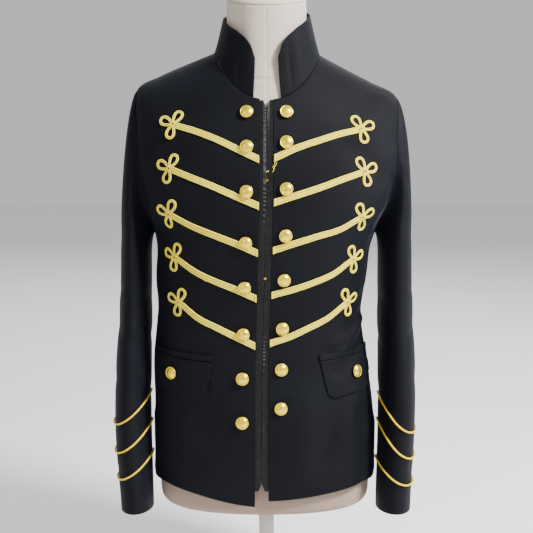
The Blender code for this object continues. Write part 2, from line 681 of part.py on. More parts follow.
def build_braid(name, side, row, group):
    part = np.linspace(1 - 0.09, 0, 9)
    lower, upper = np.moveaxis(np.array(bar_edges(side, row, part, (-1, 1))), -1, 0)
    hub, level, up = hub_frame(side, row)[2:]
    near = torso(*front_place(*bar_line(side, row, np.array((0.9,)))))[0] - hub
    head = on_hub(side, row, head_outline(float(np.arctan2(near @ up, near @ level))))
    rims = [np.concatenate((np.array(head), lower, upper[:, ::-1]), axis=1)]
    rims += [np.array(on_hub(side, row, hole_outline(*loop))) for loop in LOOPS]
    outlines = [[(side * point[0], point[2]) for point in torso(*rim)] for rim in rims]
    mesh = filled_outline(name, outlines)
    even_out(mesh)
    flat = np.array([vertex.co[:2] for vertex in mesh.vertices])
    known = np.concatenate([np.array(outline) for outline in outlines])
    nearest = np.linalg.norm(flat[:, None] - known[None], axis=2).argmin(axis=1)
    phi, t = np.concatenate(rims, axis=1)[:, nearest]
    placed = on_panel(side, phi, t, BRAID_LIFT + BRAID_THICK)
    for vertex, point in zip(mesh.vertices, placed):
        vertex.co = point
    work = bmesh.new()
    work.from_mesh(mesh)
    for face in work.faces:
        face.normal_update()
    if sum(face.normal.y for face in work.faces) > 0:
        bmesh.ops.reverse_faces(work, faces=work.faces)
    work.to_mesh(mesh)
    work.free()
    mesh.materials.clear()
    return thicken(new_object(name, mesh, group, "braid"), BRAID_THICK)


def flap_columns():
    corner = FLAP_CORNER * np.array((0.0, 0.12, 0.40, 1.0))
    middle = np.linspace(FLAP_CORNER, FLAP_LENGTH - FLAP_CORNER, 9)[1:-1]
    return np.concatenate((corner, middle, (FLAP_LENGTH - corner)[::-1]))


def flap_top(along):
    return FLAP_TOP + FLAP_RISE * along / FLAP_LENGTH


def build_flap(name, side, group):
    along = flap_columns()
    from_corner = np.clip(1 - np.minimum(along, FLAP_LENGTH - along) / FLAP_CORNER, 0, 1)
    lift_corner = FLAP_CORNER * (1 - np.sqrt(1 - from_corner**2))
    part = np.linspace(0, 1, 4)[:, None]
    foot = flap_top(along) - FLAP_DEPTH + FLAP_TAPER * along / FLAP_LENGTH + lift_corner
    z = foot + (flap_top(along) - foot) * part
    start = arc_of(side, side * FLAP_X, FLAP_TOP)
    arc = start + along + FLAP_SLANT * (1 - part) * (1 - 2 * along / FLAP_LENGTH)
    points = wrapped(side, arc, z, FLAP_TOP, FLAP_LIFT + FLAP_THICK)
    return thicken(grid_object(name, face_outward(points, side), group, "cloth"), FLAP_THICK)


def build_welt(name, side, group):
    along = np.linspace(-0.001, FLAP_LENGTH + 0.001, 12)
    foot = flap_top(along) + WELT_GAP
    z = np.stack((foot, foot + WELT_DEPTH))
    start = arc_of(side, side * FLAP_X, FLAP_TOP)
    arc = np.broadcast_to(start + along, z.shape)
    points = wrapped(side, arc, z, FLAP_TOP, LAID_ON + WELT_THICK)
    return thicken(grid_object(name, face_outward(points, side), group, "cloth"), WELT_THICK)


def build_cuff_cord(name, side, low, high, group):
    """Cord round the sleeve, low on the outer side and high on the inner side."""
    turn = sleeve_turns()
    z = low + (high - low) * ((1 - np.cos(turn)) / 2)**CUFF_CORD_BEND[side]
    top_z, low_z = SLEEVE[0, 0], SLEEVE[-1, 0]
    row = 1 + (top_z - z) / (top_z - low_z)
    out = normal(lambda a, b: sleeve_surface(side, a, b), turn, row)
    points = sleeve_surface(side, turn, row)
    middle = points.mean(axis=0)
    sign = np.sign(((points - middle) * out).sum(axis=1))[:, None]
    points = points + out * sign * (CUFF_CORD_RADIUS + LAID_ON + 0.0002)
    curve = bpy.data.curves.new(name, "CURVE")
    curve.dimensions = "3D"
    curve.bevel_depth = CUFF_CORD_RADIUS
    curve.bevel_resolution = 0
    line = curve.splines.new("POLY")
    line.points.add(len(points) - 1)
    line.use_cyclic_u = True
    for point, place in zip(line.points, points):
        point.co = (*place, 1)
    return new_object(name, curve, group, "braid")


def form_ring(phi, t):
    """Dress form under the cloth: the same surface moved in."""
    t = np.full(np.shape(phi), t)
    sink = WALL + ring("form_gap", t)
    return torso(phi, t) - normal(torso, phi, inside(t)) * sink[..., None]


def neck_ring(phi, z_mid, half_width, half_depth, y_mid, slope):
    x = half_width * np.sin(phi)
    y = y_mid - half_depth * np.cos(phi)
    return np.stack((x, y, z_mid + slope * (y - y_mid)), axis=-1)


def shrunk(points, z, inset):
    """Ring of the same shape, level at z and moved in by inset."""
    flat = points.copy()
    middle = flat.mean(axis=0)
    span = np.abs(flat - middle).max(axis=0)
    flat[:, 0] = middle[0] + (flat[:, 0] - middle[0]) * (1 - inset / span[0])
    flat[:, 1] = middle[1] + (flat[:, 1] - middle[1]) * (1 - inset / span[1])
    flat[:, 2] = z
    return flat


def loft(name, rings, group, finish):
    """Closed body through rings of points, with flat ends."""
    made = grid_object(name, np.array(rings), group, finish, closed=True)
    work = bmesh.new()
    work.from_mesh(made.data)
    bmesh.ops.holes_fill(work, edges=[edge for edge in work.edges if edge.is_boundary])
    bmesh.ops.recalc_face_normals(work, faces=work.faces)
    bmesh.ops.triangulate(work, faces=[face for face in work.faces if len(face.verts) > 4])
    work.to_mesh(made.data)
    work.free()
    return made


def build_form(group):
    phi = np.linspace(0, 2 * pi, FORM_COLUMNS, endpoint=False)
    hem = form_ring(phi, T_HEM)
    rings = [shrunk(hem, FORM_BOTTOM, 0.014), shrunk(hem, FORM_BOTTOM + 0.004, 0.005),
             shrunk(hem, FORM_BOTTOM + 0.015, 0.001)]
    heights = (*range(int(T_ARMPIT)), *np.arange(T_ARMPIT, T_NECK + 0.1, 0.5))
    rings += [form_ring(phi, t) for t in heights]
    rings += [neck_ring(phi, *row) for row in NECK_RINGS]
    loft("form_torso", rings, group, "linen")


def build_neck_cap(group):
    phi = np.linspace(0, 2 * pi, FORM_COLUMNS, endpoint=False)
    z_mid, half_width, half_depth, y_mid, slope = NECK_RINGS[-1]
    rings = []
    for part in (0.0, 0.5, 0.85, 0.98):
        shrink = np.sqrt(1 - part**2)
        height = z_mid + PART_GAP + NECK_CAP_HEIGHT * part
        rings.append(neck_ring(phi, height, half_width * shrink, half_depth * shrink, y_mid, slope))
    loft("form_neck_cap", rings, group, "linen")


def build_stand(group):
    bpy.ops.mesh.primitive_cylinder_add(vertices=16, radius=POLE_RADIUS)
    pole = bpy.context.active_object
    low, high = BASE_THICK + PART_GAP, FORM_BOTTOM - PART_GAP
    for vertex in pole.data.vertices:
        vertex.co.z = high if vertex.co.z > 0 else low
    adopt(pole, "form_pole", group)
    bpy.ops.mesh.primitive_cylinder_add(vertices=40, radius=BASE_RADIUS)
    base = bpy.context.active_object
    for vertex in base.data.vertices:
        vertex.co.z = BASE_THICK if vertex.co.z > 0 else 0.0
    adopt(base, "form_base", group)
    edge = base.modifiers.new("Edge", "BEVEL")
    edge.width = 0.003
    edge.segments = 1
    edge.limit_method = "ANGLE"


def adopt(thing, name, group):
    """Name a primitive and move it to the part's collection."""
    thing.name = name
    thing.data.name = name
    thing.data.materials.append(material("stand", name + "_finish"))
    for owner in list(thing.users_collection):
        owner.objects.unlink(thing)
    group.objects.link(thing)


def build_side(word, side, group):
    build_front("front_" + word, side, group)
    build_sleeve("sleeve_" + word, side, group)
    build_tape("hook_tape_" + word, side, group)
    build_flap("pocket_flap_" + word, side, group)
    build_welt("pocket_welt_" + word, side, group)
    for number, z in enumerate(BUTTON_Z[side], 1):
        x = float(centre_x(z)) + side * BUTTON_HALF
        over = f"{word}_{number}" in OVER_BRAID
        under = BUTTON_FLAT if over else BUTTON_SHANK
        lift = LAID_ON - SEAT_DROP if over else LAID_ON
        seat(f"button_{word}_{number}", BUTTON_DOME + under, x, z, lift, group, "metal")
    seat("button_pocket_" + word, BUTTON_DOME + BUTTON_SHANK, side * POCKET_BUTTON_X[side],
         POCKET_BUTTON_Z, FLAP_LIFT + FLAP_THICK + LAID_ON - SEAT_DROP, group, "metal")
    for number, row in enumerate(BRAIDS[side], 1):
        build_braid(f"braid_{word}_{number}", side, dict(zip(BRAID_COLUMNS, row)), group)
    for number, (low, high) in enumerate(CUFF_CORDS[side], 1):
        build_cuff_cord(f"cuff_cord_{word}_{number}", side, low, high, group)


def main():
    clear_scene()
    group = collection("napoleon_jacket_on_dress_form")
    build_form(group)
    build_neck_cap(group)
    build_stand(group)
    build_back("back", group)
    build_collar("collar", group)
    for word, side in SIDES.items():
        build_side(word, side, group)


main()
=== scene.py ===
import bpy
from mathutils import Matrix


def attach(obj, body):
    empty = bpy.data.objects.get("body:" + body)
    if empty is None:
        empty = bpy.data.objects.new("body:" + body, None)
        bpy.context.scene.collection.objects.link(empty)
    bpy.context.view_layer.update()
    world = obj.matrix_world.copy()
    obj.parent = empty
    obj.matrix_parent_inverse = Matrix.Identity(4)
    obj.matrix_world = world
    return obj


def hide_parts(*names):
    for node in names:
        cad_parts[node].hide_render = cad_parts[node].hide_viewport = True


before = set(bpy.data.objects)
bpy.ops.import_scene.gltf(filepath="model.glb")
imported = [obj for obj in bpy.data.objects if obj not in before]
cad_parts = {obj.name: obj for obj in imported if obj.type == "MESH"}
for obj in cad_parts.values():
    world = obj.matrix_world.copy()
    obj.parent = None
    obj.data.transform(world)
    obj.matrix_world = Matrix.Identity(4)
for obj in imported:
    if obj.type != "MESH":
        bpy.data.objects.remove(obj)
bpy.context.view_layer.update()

from functools import lru_cache
from math import cos, pi, radians, sin

import bpy
import numpy as np
from mathutils import Matrix, Vector

# Black napoleon jacket on a linen dress form, in metres, +Z up.
# The wearer faces -Y, so the wearer's left is +X.
# torso(phi, t) is the cloth's surface: phi runs round the body from the centre
# front, and t counts the rings of RINGS from the hem to the neckline.

# Cloth and seams
WALL = 0.0014
SEAM = 0.00015
LAID_ON = 0.0003
ROLL_DEPTH, ROLL_WIDTH = 0.0011, 0.0022
# Rough radii that turn a length on the cloth into an angle or a ring number
CHEST_RADIUS, RING_HEIGHT, NECK_RADIUS = 0.11, 0.055, 0.0905

# Torso rings, hem to neckline; heights at side, front and back, then sizes
RING_COLUMNS = ("z_side", "z_front", "z_back", "half_width", "shift",
                "y_front", "y_back", "y_side", "tilt", "climb", "form_gap")
RINGS = np.array((
    (0.219, 0.204, 0.212, 0.1815, -0.003, -0.118, 0.12, 0.0, 0.0, 1.9, 0.0085),
    (0.264, 0.256, 0.26, 0.18, -0.003, -0.116, 0.119, 0.0, 0.0, 2.3, 0.008),
    (0.331, 0.328, 0.33, 0.1775, -0.0045, -0.113, 0.115, 0.0, 0.0, 3.0, 0.0065),
    (0.4, 0.399, 0.4, 0.173, -0.01, -0.108, 0.105, 0.0, 0.0, 3.5, 0.006),
    (0.464, 0.464, 0.464, 0.166, -0.0115, -0.104, 0.098, 0.0, 0.0, 3.5, 0.0058),
    (0.535, 0.535, 0.535, 0.169, -0.0085, -0.11, 0.102, 0.0, 0.0, 3.5, 0.0056),
    (0.605, 0.605, 0.605, 0.1765, -0.0025, -0.119, 0.112, 0.0, 0.0, 3.5, 0.0052),
    (0.66, 0.642, 0.652, 0.204, 0.0, -0.12, 0.113, 0.002, 0.002, 3.5, 0.0045),
    (0.72, 0.68, 0.703, 0.215, 0.0008, -0.117, 0.111, 0.005, 0.01, 3.5, 0.0028),
    (0.778, 0.716, 0.756, 0.214, 0.001, -0.111, 0.106, 0.008, 0.018, 3.5, 0.0025),
    (0.826, 0.748, 0.803, 0.204, 0.0, -0.104, 0.097, 0.01, 0.025, 3.4, 0.0021),
    (0.8465, 0.771, 0.837, 0.167, -0.001, -0.098, 0.087, 0.01, 0.03, 3.1, 0.0018),
    (0.867, 0.793, 0.866, 0.1225, 0.0, -0.09, 0.077, 0.008, 0.03, 2.7, 0.0021),
    (0.885, 0.813, 0.893, 0.083, 0.001, -0.079, 0.068, 0.004, 0.02, 2.3, 0.0022),
))
T_HEM, T_ARMPIT, T_TIP, T_NECK = 0.0, 6.0, 10.0, 13.0
BOX = 0.1
ARMHOLE_ANGLE = 0.42
FOLD_REACH = 0.12

# Folds of the torso: soft troughs and ridges from one point to another
# Columns: phi_a, z_a, phi_b, z_b, half_width, depth
MAIN_FOLDS = (
    (1.42, 0.58, 1.08, 0.63, 0.02, -0.003),
    (-1.42, 0.575, -1.1, 0.618, 0.02, -0.0024),
    (1.5, 0.486, 1.0, 0.458, 0.017, -0.0028),
    (-1.5, 0.488, -1.05, 0.462, 0.017, -0.0022),
    (1.75, 0.47, 2.55, 0.44, 0.02, -0.003),
    (-1.75, 0.475, -2.5, 0.445, 0.02, -0.003),
    (2.1, 0.64, 2.45, 0.56, 0.022, -0.0028),
    (-2.1, 0.64, -2.4, 0.55, 0.022, -0.0028),
    (2.6, 0.3, 2.45, 0.215, 0.03, 0.004),
    (-2.6, 0.3, -2.5, 0.215, 0.03, 0.0036),
    (0.85, 0.29, 0.8, 0.215, 0.03, 0.003),
    (-0.9, 0.28, -0.85, 0.215, 0.03, 0.0026),
)
TROUGH_LIMIT = 0.0032
FINE_FOLDS = (
    (1.38, 0.452, 0.72, 0.398, 0.011, -0.0039),
    (1.34, 0.47, 0.82, 0.424, 0.008, 0.0033),
    (1.36, 0.585, 1.1, 0.668, 0.011, -0.0045),
    (1.16, 0.61, 1.0, 0.69, 0.009, 0.003),
    (-1.34, 0.59, -1.08, 0.672, 0.012, -0.0039),
    (1.3, 0.3, 1.12, 0.215, 0.016, 0.0045),
    (1.02, 0.32, 0.96, 0.225, 0.013, -0.0033),
    (-1.28, 0.31, -1.16, 0.22, 0.016, 0.0039),
    (0.34, 0.36, 0.3, 0.24, 0.014, 0.0024),
    (0.6, 0.742, 0.95, 0.69, 0.014, -0.0027),
    (-0.62, 0.742, -0.95, 0.69, 0.014, -0.0024),
    (1.3, 0.625, 1.12, 0.69, 0.009, -0.003),
    (1.22, 0.655, 1.1, 0.735, 0.008, 0.0021),
    (-1.28, 0.62, -1.12, 0.68, 0.01, -0.0024),
    (1.45, 0.512, 1.02, 0.498, 0.008, -0.0021),
    (1.4, 0.468, 0.72, 0.436, 0.009, 0.0024),
    (1.2, 0.448, 0.62, 0.428, 0.007, -0.0018),
    (-1.42, 0.505, -1.08, 0.487, 0.009, -0.0021),
    (-1.35, 0.47, -0.75, 0.444, 0.009, 0.0018),
    (0.95, 0.355, 0.7, 0.3, 0.014, 0.0024),
    (0.62, 0.345, 0.5, 0.262, 0.012, -0.0021),
    (-0.55, 0.35, -0.48, 0.27, 0.013, -0.0018),
    (-1.05, 0.34, -0.98, 0.255, 0.014, 0.0021),
    (2.0, 0.5, 2.75, 0.476, 0.01, -0.003),
    (-1.95, 0.508, -2.8, 0.484, 0.01, -0.0027),
    (2.2, 0.452, 2.9, 0.424, 0.011, 0.0027),
    (-2.25, 0.446, -2.95, 0.42, 0.01, 0.0024),
    (1.95, 0.66, 2.25, 0.6, 0.01, -0.0033),
    (-1.95, 0.655, -2.22, 0.59, 0.011, -0.003),
    (2.05, 0.72, 2.2, 0.66, 0.012, 0.0024),
    (-2.08, 0.715, -2.25, 0.65, 0.012, 0.0024),
    (2.85, 0.84, 2.5, 0.8, 0.013, -0.0021),
    (-2.9, 0.842, -2.55, 0.806, 0.013, -0.0021),
    (2.2, 0.33, 2.1, 0.24, 0.014, -0.0027),
    (-2.15, 0.335, -2.12, 0.24, 0.014, -0.0027),
    (3.05, 0.32, 3.0, 0.23, 0.016, 0.0024),
    (1.32, 0.822, 1.1, 0.8, 0.012, -0.0015),
    (-1.35, 0.824, -1.12, 0.804, 0.012, -0.0015),
)

# Front edges and hem corners
CENTRE_DRIFT = -0.0075
DRIFT_TOP, DRIFT_BOTTOM = 0.7, 0.35
EDGE_HALF = 0.0105
DIP = {1: 0.0055, -1: 0.015}
DIP_ANGLE = 0.52

# Sleeve sections below the cap, wearer's left; y_mid moves the cuff forward
SLEEVE_COLUMNS = ("z", "x_out", "x_in", "y_mid", "half_depth", "right_trim")
SLEEVE = np.array((
    (0.56, 0.2355, 0.1835, 0.006, 0.071, 0.0055),
    (0.5, 0.239, 0.1835, 0.003, 0.07, 0.0055),
    (0.435, 0.242, 0.1825, -0.004, 0.068, 0.0042),
    (0.36, 0.244, 0.1845, -0.014, 0.064, 0.0025),
    (0.29, 0.2425, 0.184, -0.026, 0.06, 0.001),
    (0.23, 0.2385, 0.1815, -0.037, 0.056, 0.0018),
    (0.165, 0.234, 0.1795, -0.047, 0.053, 0.004),
))
SLEEVE_SHIFT = -0.003
CUFF_SLOPE = 0.08
CAP_REACH_TOP = {1: 0.021, -1: 0.017}
CAP_REACH_LOW = 0.004
CAP_LEAVE, CAP_ARRIVE = -0.25, 0.42
# Columns: turn, z, half_turn, half_height, slope, depth
MAIN_SLEEVE_FOLDS = (
    (0.9, 0.475, 0.9, 0.028, 0.02, -0.0024),
    (2.4, 0.425, 0.8, 0.026, -0.015, -0.0024),
    (4.6, 0.455, 1.0, 0.03, 0.018, -0.0028),
    (1.6, 0.64, 0.8, 0.03, 0.03, -0.0026),
    (4.7, 0.65, 0.8, 0.03, -0.03, -0.0026),
)
FINE_SLEEVE_FOLDS = (
    (0.7, 0.52, 0.8, 0.01, 0.016, -0.0014),
    (1.1, 0.448, 0.9, 0.009, -0.012, -0.0014),
    (1.3, 0.408, 0.7, 0.01, 0.01, 0.001),
    (2.2, 0.465, 0.6, 0.009, -0.02, -0.0016),
    (2.6, 0.5, 0.7, 0.01, 0.014, -0.0014),
    (3.6, 0.44, 0.8, 0.01, 0.018, -0.0016),
    (4.3, 0.482, 0.9, 0.011, -0.014, -0.0018),
    (4.9, 0.425, 0.8, 0.01, 0.012, -0.0016),
    (5.5, 0.465, 0.7, 0.011, -0.014, -0.0012),
    (0.5, 0.375, 0.9, 0.012, 0.014, -0.001),
    (3.1, 0.35, 0.9, 0.012, -0.01, -0.0012),
    (1.9, 0.325, 0.8, 0.01, 0.012, -0.0008),
    (4.4, 0.352, 0.9, 0.012, 0.01, -0.0012),
    (0.8, 0.232, 0.7, 0.01, 0.01, -0.001),
    (2.0, 0.69, 0.5, 0.012, 0.04, -0.0018),
    (1.4, 0.72, 0.5, 0.014, 0.04, 0.0014),
    (4.4, 0.7, 0.5, 0.013, -0.04, -0.0018),
    (4.9, 0.735, 0.5, 0.014, -0.04, 0.0014),
    (0.2, 0.6, 0.8, 0.02, 0.012, -0.001),
    (5.9, 0.545, 0.8, 0.016, -0.016, -0.001),
)

# Collar: seam to the neckline ring, and the height of its edge round the neck
COLLAR_WALL = 0.0022
COLLAR_FRONT_X = 0.021
COLLAR_TOP_HALF_WIDTH = 0.068
COLLAR_TOP_FRONT = -0.074
COLLAR_TOP_BACK = 0.065
# Free edge, columns: degrees round from the centre front, z
COLLAR_EDGE = ((13, 0.87), (17, 0.891), (25, 0.905), (41, 0.919),
               (62, 0.93), (90, 0.9425), (130, 0.953), (180, 0.957))
COLLAR_TILT = 0.045
COLLAR_SMOOTH = (-2.4, -1.2, 0, 1.2, 2.4)
# Soft upright ridges and troughs, columns: phi, half_angle, depth
COLLAR_STREAKS = ((0.45, 0.05, -0.0012), (0.62, 0.06, 0.001), (0.86, 0.07, -0.001),
                  (-0.55, 0.08, -0.0007), (-0.95, 0.08, 0.0006), (2.6, 0.1, -0.0008))

# Closure tapes and their hooks
TAPE_RECESS = 0.0006
TAPE_THICK = 0.0009
TAPE_FLAT = 0.55
TAPE_TOP, TAPE_NOTCH_TOP = 0.812, 0.801
TAPE_FOOT, TAPE_NOTCH_FOOT = 0.214, 0.227
PUCKER_PITCH, PUCKER_DEPTH = 0.0085, 0.0006
EYE_RADIUS, EYE_WIRE = 0.0016, 0.0003
# Small metal glints that show between the tapes, columns: side, z
EYES = ((1, 0.706), (1, 0.693), (1, 0.545))

# Buttons: profile of (radius, height above their seat)
BUTTON_PROFILE = ((0.0, 0.0068), (0.0022, 0.0067), (0.0044, 0.0063), (0.0062, 0.0056),
                  (0.0074, 0.0047), (0.0079, 0.004), (0.0082, 0.0038), (0.0086, 0.0041),
                  (0.0091, 0.0043), (0.0096, 0.0041), (0.0099, 0.0036), (0.01, 0.003),
                  (0.0098, 0.0025), (0.0094, 0.0023), (0.0026, 0.0023), (0.0025, 0.0021),
                  (0.0025, 0.0), (0.0, 0.0))
BUTTON_HALF = 0.0295
BUTTON_Z = {
    -1: (0.793, 0.742, 0.676, 0.6, 0.531, 0.458, 0.39, 0.322),
    1: (0.793, 0.7485, 0.68, 0.611, 0.543, 0.467, 0.404, 0.344),
}
BUTTON_LIFT = 0.0007

# Braids: a bar of two grooved cords side by side, and a trefoil of three loops
BAR_HALF, BAR_HALF_HUB = 0.0052, 0.0047
END_BAND = 0.003
BRAID_COLUMNS = ("inner_z", "hub_x", "hub_z", "sag_1", "sag_2", "sag_3")
BRAIDS = {
    -1: (
        (0.7236, 0.1411, 0.7752, 0.0022, 0.0043, 0.0034),
        (0.655, 0.1468, 0.7095, 0.0004, 0.0012, 0.0006),
        (0.5843, 0.1476, 0.6409, 0.0003, -0.0012, -0.0024),
        (0.5138, 0.1402, 0.5742, -0.001, -0.0041, -0.0051),
        (0.44, 0.135, 0.504, -0.0022, -0.0043, -0.0063),
    ),
    1: (
        (0.7252, 0.1428, 0.7684, 0.0038, 0.004, 0.0032),
        (0.6599, 0.1483, 0.705, -0.0004, -0.0008, 0.0001),
        (0.5883, 0.1446, 0.6364, -0.0012, -0.0032, -0.0057),
        (0.5189, 0.1329, 0.5706, -0.0046, -0.0075, -0.008),
        (0.4439, 0.1248, 0.5027, -0.0049, -0.0065, -0.0071),
    ),
}
# Columns: degrees from outward towards up, length
LOOPS = ((22, 0.0245), (115, 0.0245), (-77, 0.0235))
CORD_HALF = 0.0022
LOOP_HALF_WIDTH = 0.006
CORD_PROFILE = ((-1.0, 0.0), (-0.98, 0.4), (-0.8, 0.84), (-0.52, 1.0), (-0.2, 0.78), (0.0, 0.35),
                (0.2, 0.78), (0.52, 1.0), (0.8, 0.84), (0.98, 0.4), (1.0, 0.0))
CORD_HEIGHT = 0.0016
# Width of one groove's share of the cord in the braid's UV; the painted groove shade repeats at this pitch
CORD_PITCH = 0.003
THREAD_RADIUS = 0.0004
# Loose threads at a braid, by side and number, as front view points (x, z)
THREADS = {
    (1, 1): (((0.0125, 0.7215), (0.0118, 0.716), (0.0095, 0.7125), (0.0108, 0.7085), (0.009, 0.705)),
             ((0.015, 0.72), (0.014, 0.715), (0.0118, 0.713), (0.0122, 0.71))),
    (-1, 4): (((-0.095, 0.545), (-0.0935, 0.5405), (-0.0912, 0.54), (-0.0925, 0.5432)),),
}

# Pockets
FLAP_X, FLAP_LENGTH = 0.0825, 0.116
FLAP_DEPTH, FLAP_TAPER = 0.06, 0.009
FLAP_TOP, FLAP_RISE = 0.414, 0.006
FLAP_CORNER, FLAP_SLANT = 0.016, 0.006
FLAP_THICK, FLAP_LIFT = 0.0015, 0.0004
WELT_GAP, WELT_DEPTH, WELT_THICK = 0.0008, 0.0088, 0.0012
POCKET_BUTTON_X = {1: 0.139, -1: 0.146}
POCKET_BUTTON_Z = 0.392

# Cuff cords
CUFF_CORD_RADIUS = 0.0015
# Columns: z at the outer side, z at the inner side
CUFF_CORDS = {
    -1: ((0.304, 0.348), (0.259, 0.301), (0.217, 0.252)),
    1: ((0.293, 0.345), (0.252, 0.303), (0.21, 0.242)),
}
CUFF_CORD_BEND = {-1: 1.6, 1: 2.2}

# Dress form and stand
FORM_BOTTOM = 0.168
NECK_RINGS = ((0.893, 0.066, 0.063, -0.002, 0.28), (0.925, 0.0625, 0.0605, -0.003, 0.28),
              (0.969, 0.0616, 0.0605, -0.004, 0.28))
NECK_CAP_HEIGHT = 0.02
BASE_RADIUS, BASE_THICK = 0.155, 0.012
POLE_RADIUS = 0.0125
PART_GAP = 0.0003
FORM_SEAMS = (0.0, 0.62, -0.62, pi, 2.5, -2.5)
GROOVE_DEPTH, GROOVE_ANGLE = 0.001, 0.012
# Seam round the foot of the neck, columns: share of the way up, inward press
NECK_SEAM = ((0.2, 0.0), (0.4, 0.0), (0.46, 0.001), (0.485, 0.016), (0.51, 0.001), (0.6, 0.0), (0.8, 0.0))

# Camera of the photograph
CAMERA_DISTANCE, CAMERA_HEIGHT = 1.6, 0.765
CAMERA_PITCH = radians(7.7)
FOCAL_PIXELS, FRAME_PIXELS, SENSOR = 1000.0, 533.0, 36.0

SIDES = {"left": 1, "right": -1}


def spline(values, t):
    """Smooth curve through evenly numbered values, read at t."""
    last = len(values) - 1
    t = np.clip(np.asarray(t, float), 0, last)
    i = np.minimum(t.astype(int), last - 1)
    f = t - i
    a, b = values[i], values[i + 1]
    slope_a = (b - values[np.maximum(i - 1, 0)]) / 2
    slope_b = (values[np.minimum(i + 2, last)] - a) / 2
    return (a * (2 * f**3 - 3 * f**2 + 1) + slope_a * (f**3 - 2 * f**2 + f)
            + b * (3 * f**2 - 2 * f**3) + slope_b * (f**3 - f**2))


def turn_from(a, b):
    """Angle from b to a, between -pi and pi."""
    return np.angle(np.exp(1j * (a - b)))


def full_turn(count):
    return np.linspace(0, 2 * pi, count, endpoint=False)


def unit(vectors):
    return vectors / np.linalg.norm(vectors, axis=-1, keepdims=True)


def run_along(points):
    """Length along a line of points, from 0 at the first."""
    return np.concatenate(((0,), np.cumsum(np.linalg.norm(np.diff(points, axis=0), axis=1))))


def ring(name, t):
    return spline(RINGS[:, RING_COLUMNS.index(name)], t)


def torso(phi, t):
    """Point of the cloth's outer surface before folds, as an array ending in x, y, z."""
    phi, t = np.broadcast_arrays(np.asarray(phi, float), np.asarray(t, float))
    s, c = np.sin(phi), np.cos(phi)
    depth = np.where(c > 0, -ring("y_front", t), ring("y_back", t))
    end_z = np.where(c > 0, ring("z_front", t), ring("z_back", t))
    x = ring("half_width", t) * s * (1 + BOX * c**2)
    y = ring("y_side", t) * s**2 - depth * c * (1 + BOX * s**2)
    z = end_z + (ring("z_side", t) - end_z) * np.abs(s)**ring("climb", t) - ring("tilt", t) * x
    return np.stack((x + ring("shift", t), y, z), axis=-1)


def normal(surface, u, v, step=1e-3):
    """Unit normal of a surface, pointing away from the body."""
    along_u = surface(u + step, v) - surface(u - step, v)
    along_v = surface(u, v + step) - surface(u, v - step)
    return unit(np.cross(along_u, along_v))


def torso_folds(phi, z):
    total = np.zeros(np.broadcast(phi, z).shape)
    for phi_a, z_a, phi_b, z_b, half_width, depth in MAIN_FOLDS + FINE_FOLDS:
        run = np.array(((phi_b - phi_a) * FOLD_REACH, z_b - z_a))
        rel_x = turn_from(phi, phi_a) * FOLD_REACH
        rel_z = z - z_a
        part = np.clip((rel_x * run[0] + rel_z * run[1]) / (run @ run), 0, 1)
        away = np.hypot(rel_x - part * run[0], rel_z - part * run[1])
        total = total + depth * np.exp(-(away / half_width)**2)
    return np.where(total < 0, TROUGH_LIMIT * np.tanh(total / TROUGH_LIMIT), total)


def inside(t, low=T_HEM, high=T_NECK):
    return np.clip(t, low + 2e-3, high - 2e-3)


def cloth(phi, t, lift=0.0):
    """Point of the cloth's outer surface with its folds, moved out by lift."""
    flat = torso(phi, t)
    out = normal(torso, phi, inside(t))
    height = torso_folds(phi, flat[..., 2]) + lift
    return flat + out * np.asarray(height)[..., None]


def centre_x(z):
    part = np.clip((DRIFT_TOP - z) / (DRIFT_TOP - DRIFT_BOTTOM), 0, 1)
    return CENTRE_DRIFT * part * part * (3 - 2 * part)


def t_at(phi, z):
    """Ring number where the surface has height z, at angle phi."""
    low = np.full(np.broadcast(phi, z).shape, T_HEM)
    high = np.full(low.shape, T_NECK)
    for _ in range(24):
        middle = (low + high) / 2
        above = torso(phi, middle)[..., 2] > z
        high = np.where(above, middle, high)
        low = np.where(above, low, middle)
    return (low + high) / 2


def front_place(x, z):
    """Angle and ring number of the surface point seen from the front at x, z."""
    x, z = np.broadcast_arrays(np.asarray(x, float), np.asarray(z, float))
    phi = np.arcsin(np.clip(x / 0.2, -0.95, 0.95))
    for _ in range(12):
        t = t_at(phi, z)
        reach = ring("half_width", t) * (1 + BOX * np.cos(phi)**2)
        phi = np.arcsin(np.clip((x - ring("shift", t)) / reach, -0.998, 0.998))
    return phi, t_at(phi, z)


@lru_cache(None)
def wrap(side, z, count=160):
    """Arc length against angle along the section at height z, from x = 0 outward."""
    phi = np.linspace(0, side * (pi / 2 + 0.15), count)
    points = torso(phi, t_at(phi, np.full(count, z)))
    return run_along(points), phi, points[:, 0]


def wrapped(side, arc, z, at_z, lift):
    """Cloth point at an arc length out from x = 0 and a height."""
    lengths, angles, _ = wrap(side, at_z)
    phi = np.interp(arc, lengths, angles)
    return cloth(phi, t_at(phi, z), lift)


def arc_of(side, x, z):
    lengths, _, xs = wrap(side, z)
    return float(np.interp(side * x, np.maximum.accumulate(side * xs), lengths))


def armhole_angle(t):
    """How far the armhole's edge lies from the side line, at ring number t."""
    along = np.clip(2 * (t - T_ARMPIT) / (T_TIP - T_ARMPIT) - 1, -1, 1)
    return ARMHOLE_ANGLE * np.sqrt(1 - along**2)


def panel_rows(lower=80, arm=60, shoulder=40):
    turn = np.linspace(0, pi, arm, endpoint=False)
    armhole = T_ARMPIT + (T_TIP - T_ARMPIT) * (1 - np.cos(turn)) / 2
    return np.concatenate((np.linspace(T_HEM, T_ARMPIT, lower, endpoint=False), armhole,
                           np.linspace(T_TIP, T_NECK, shoulder)))


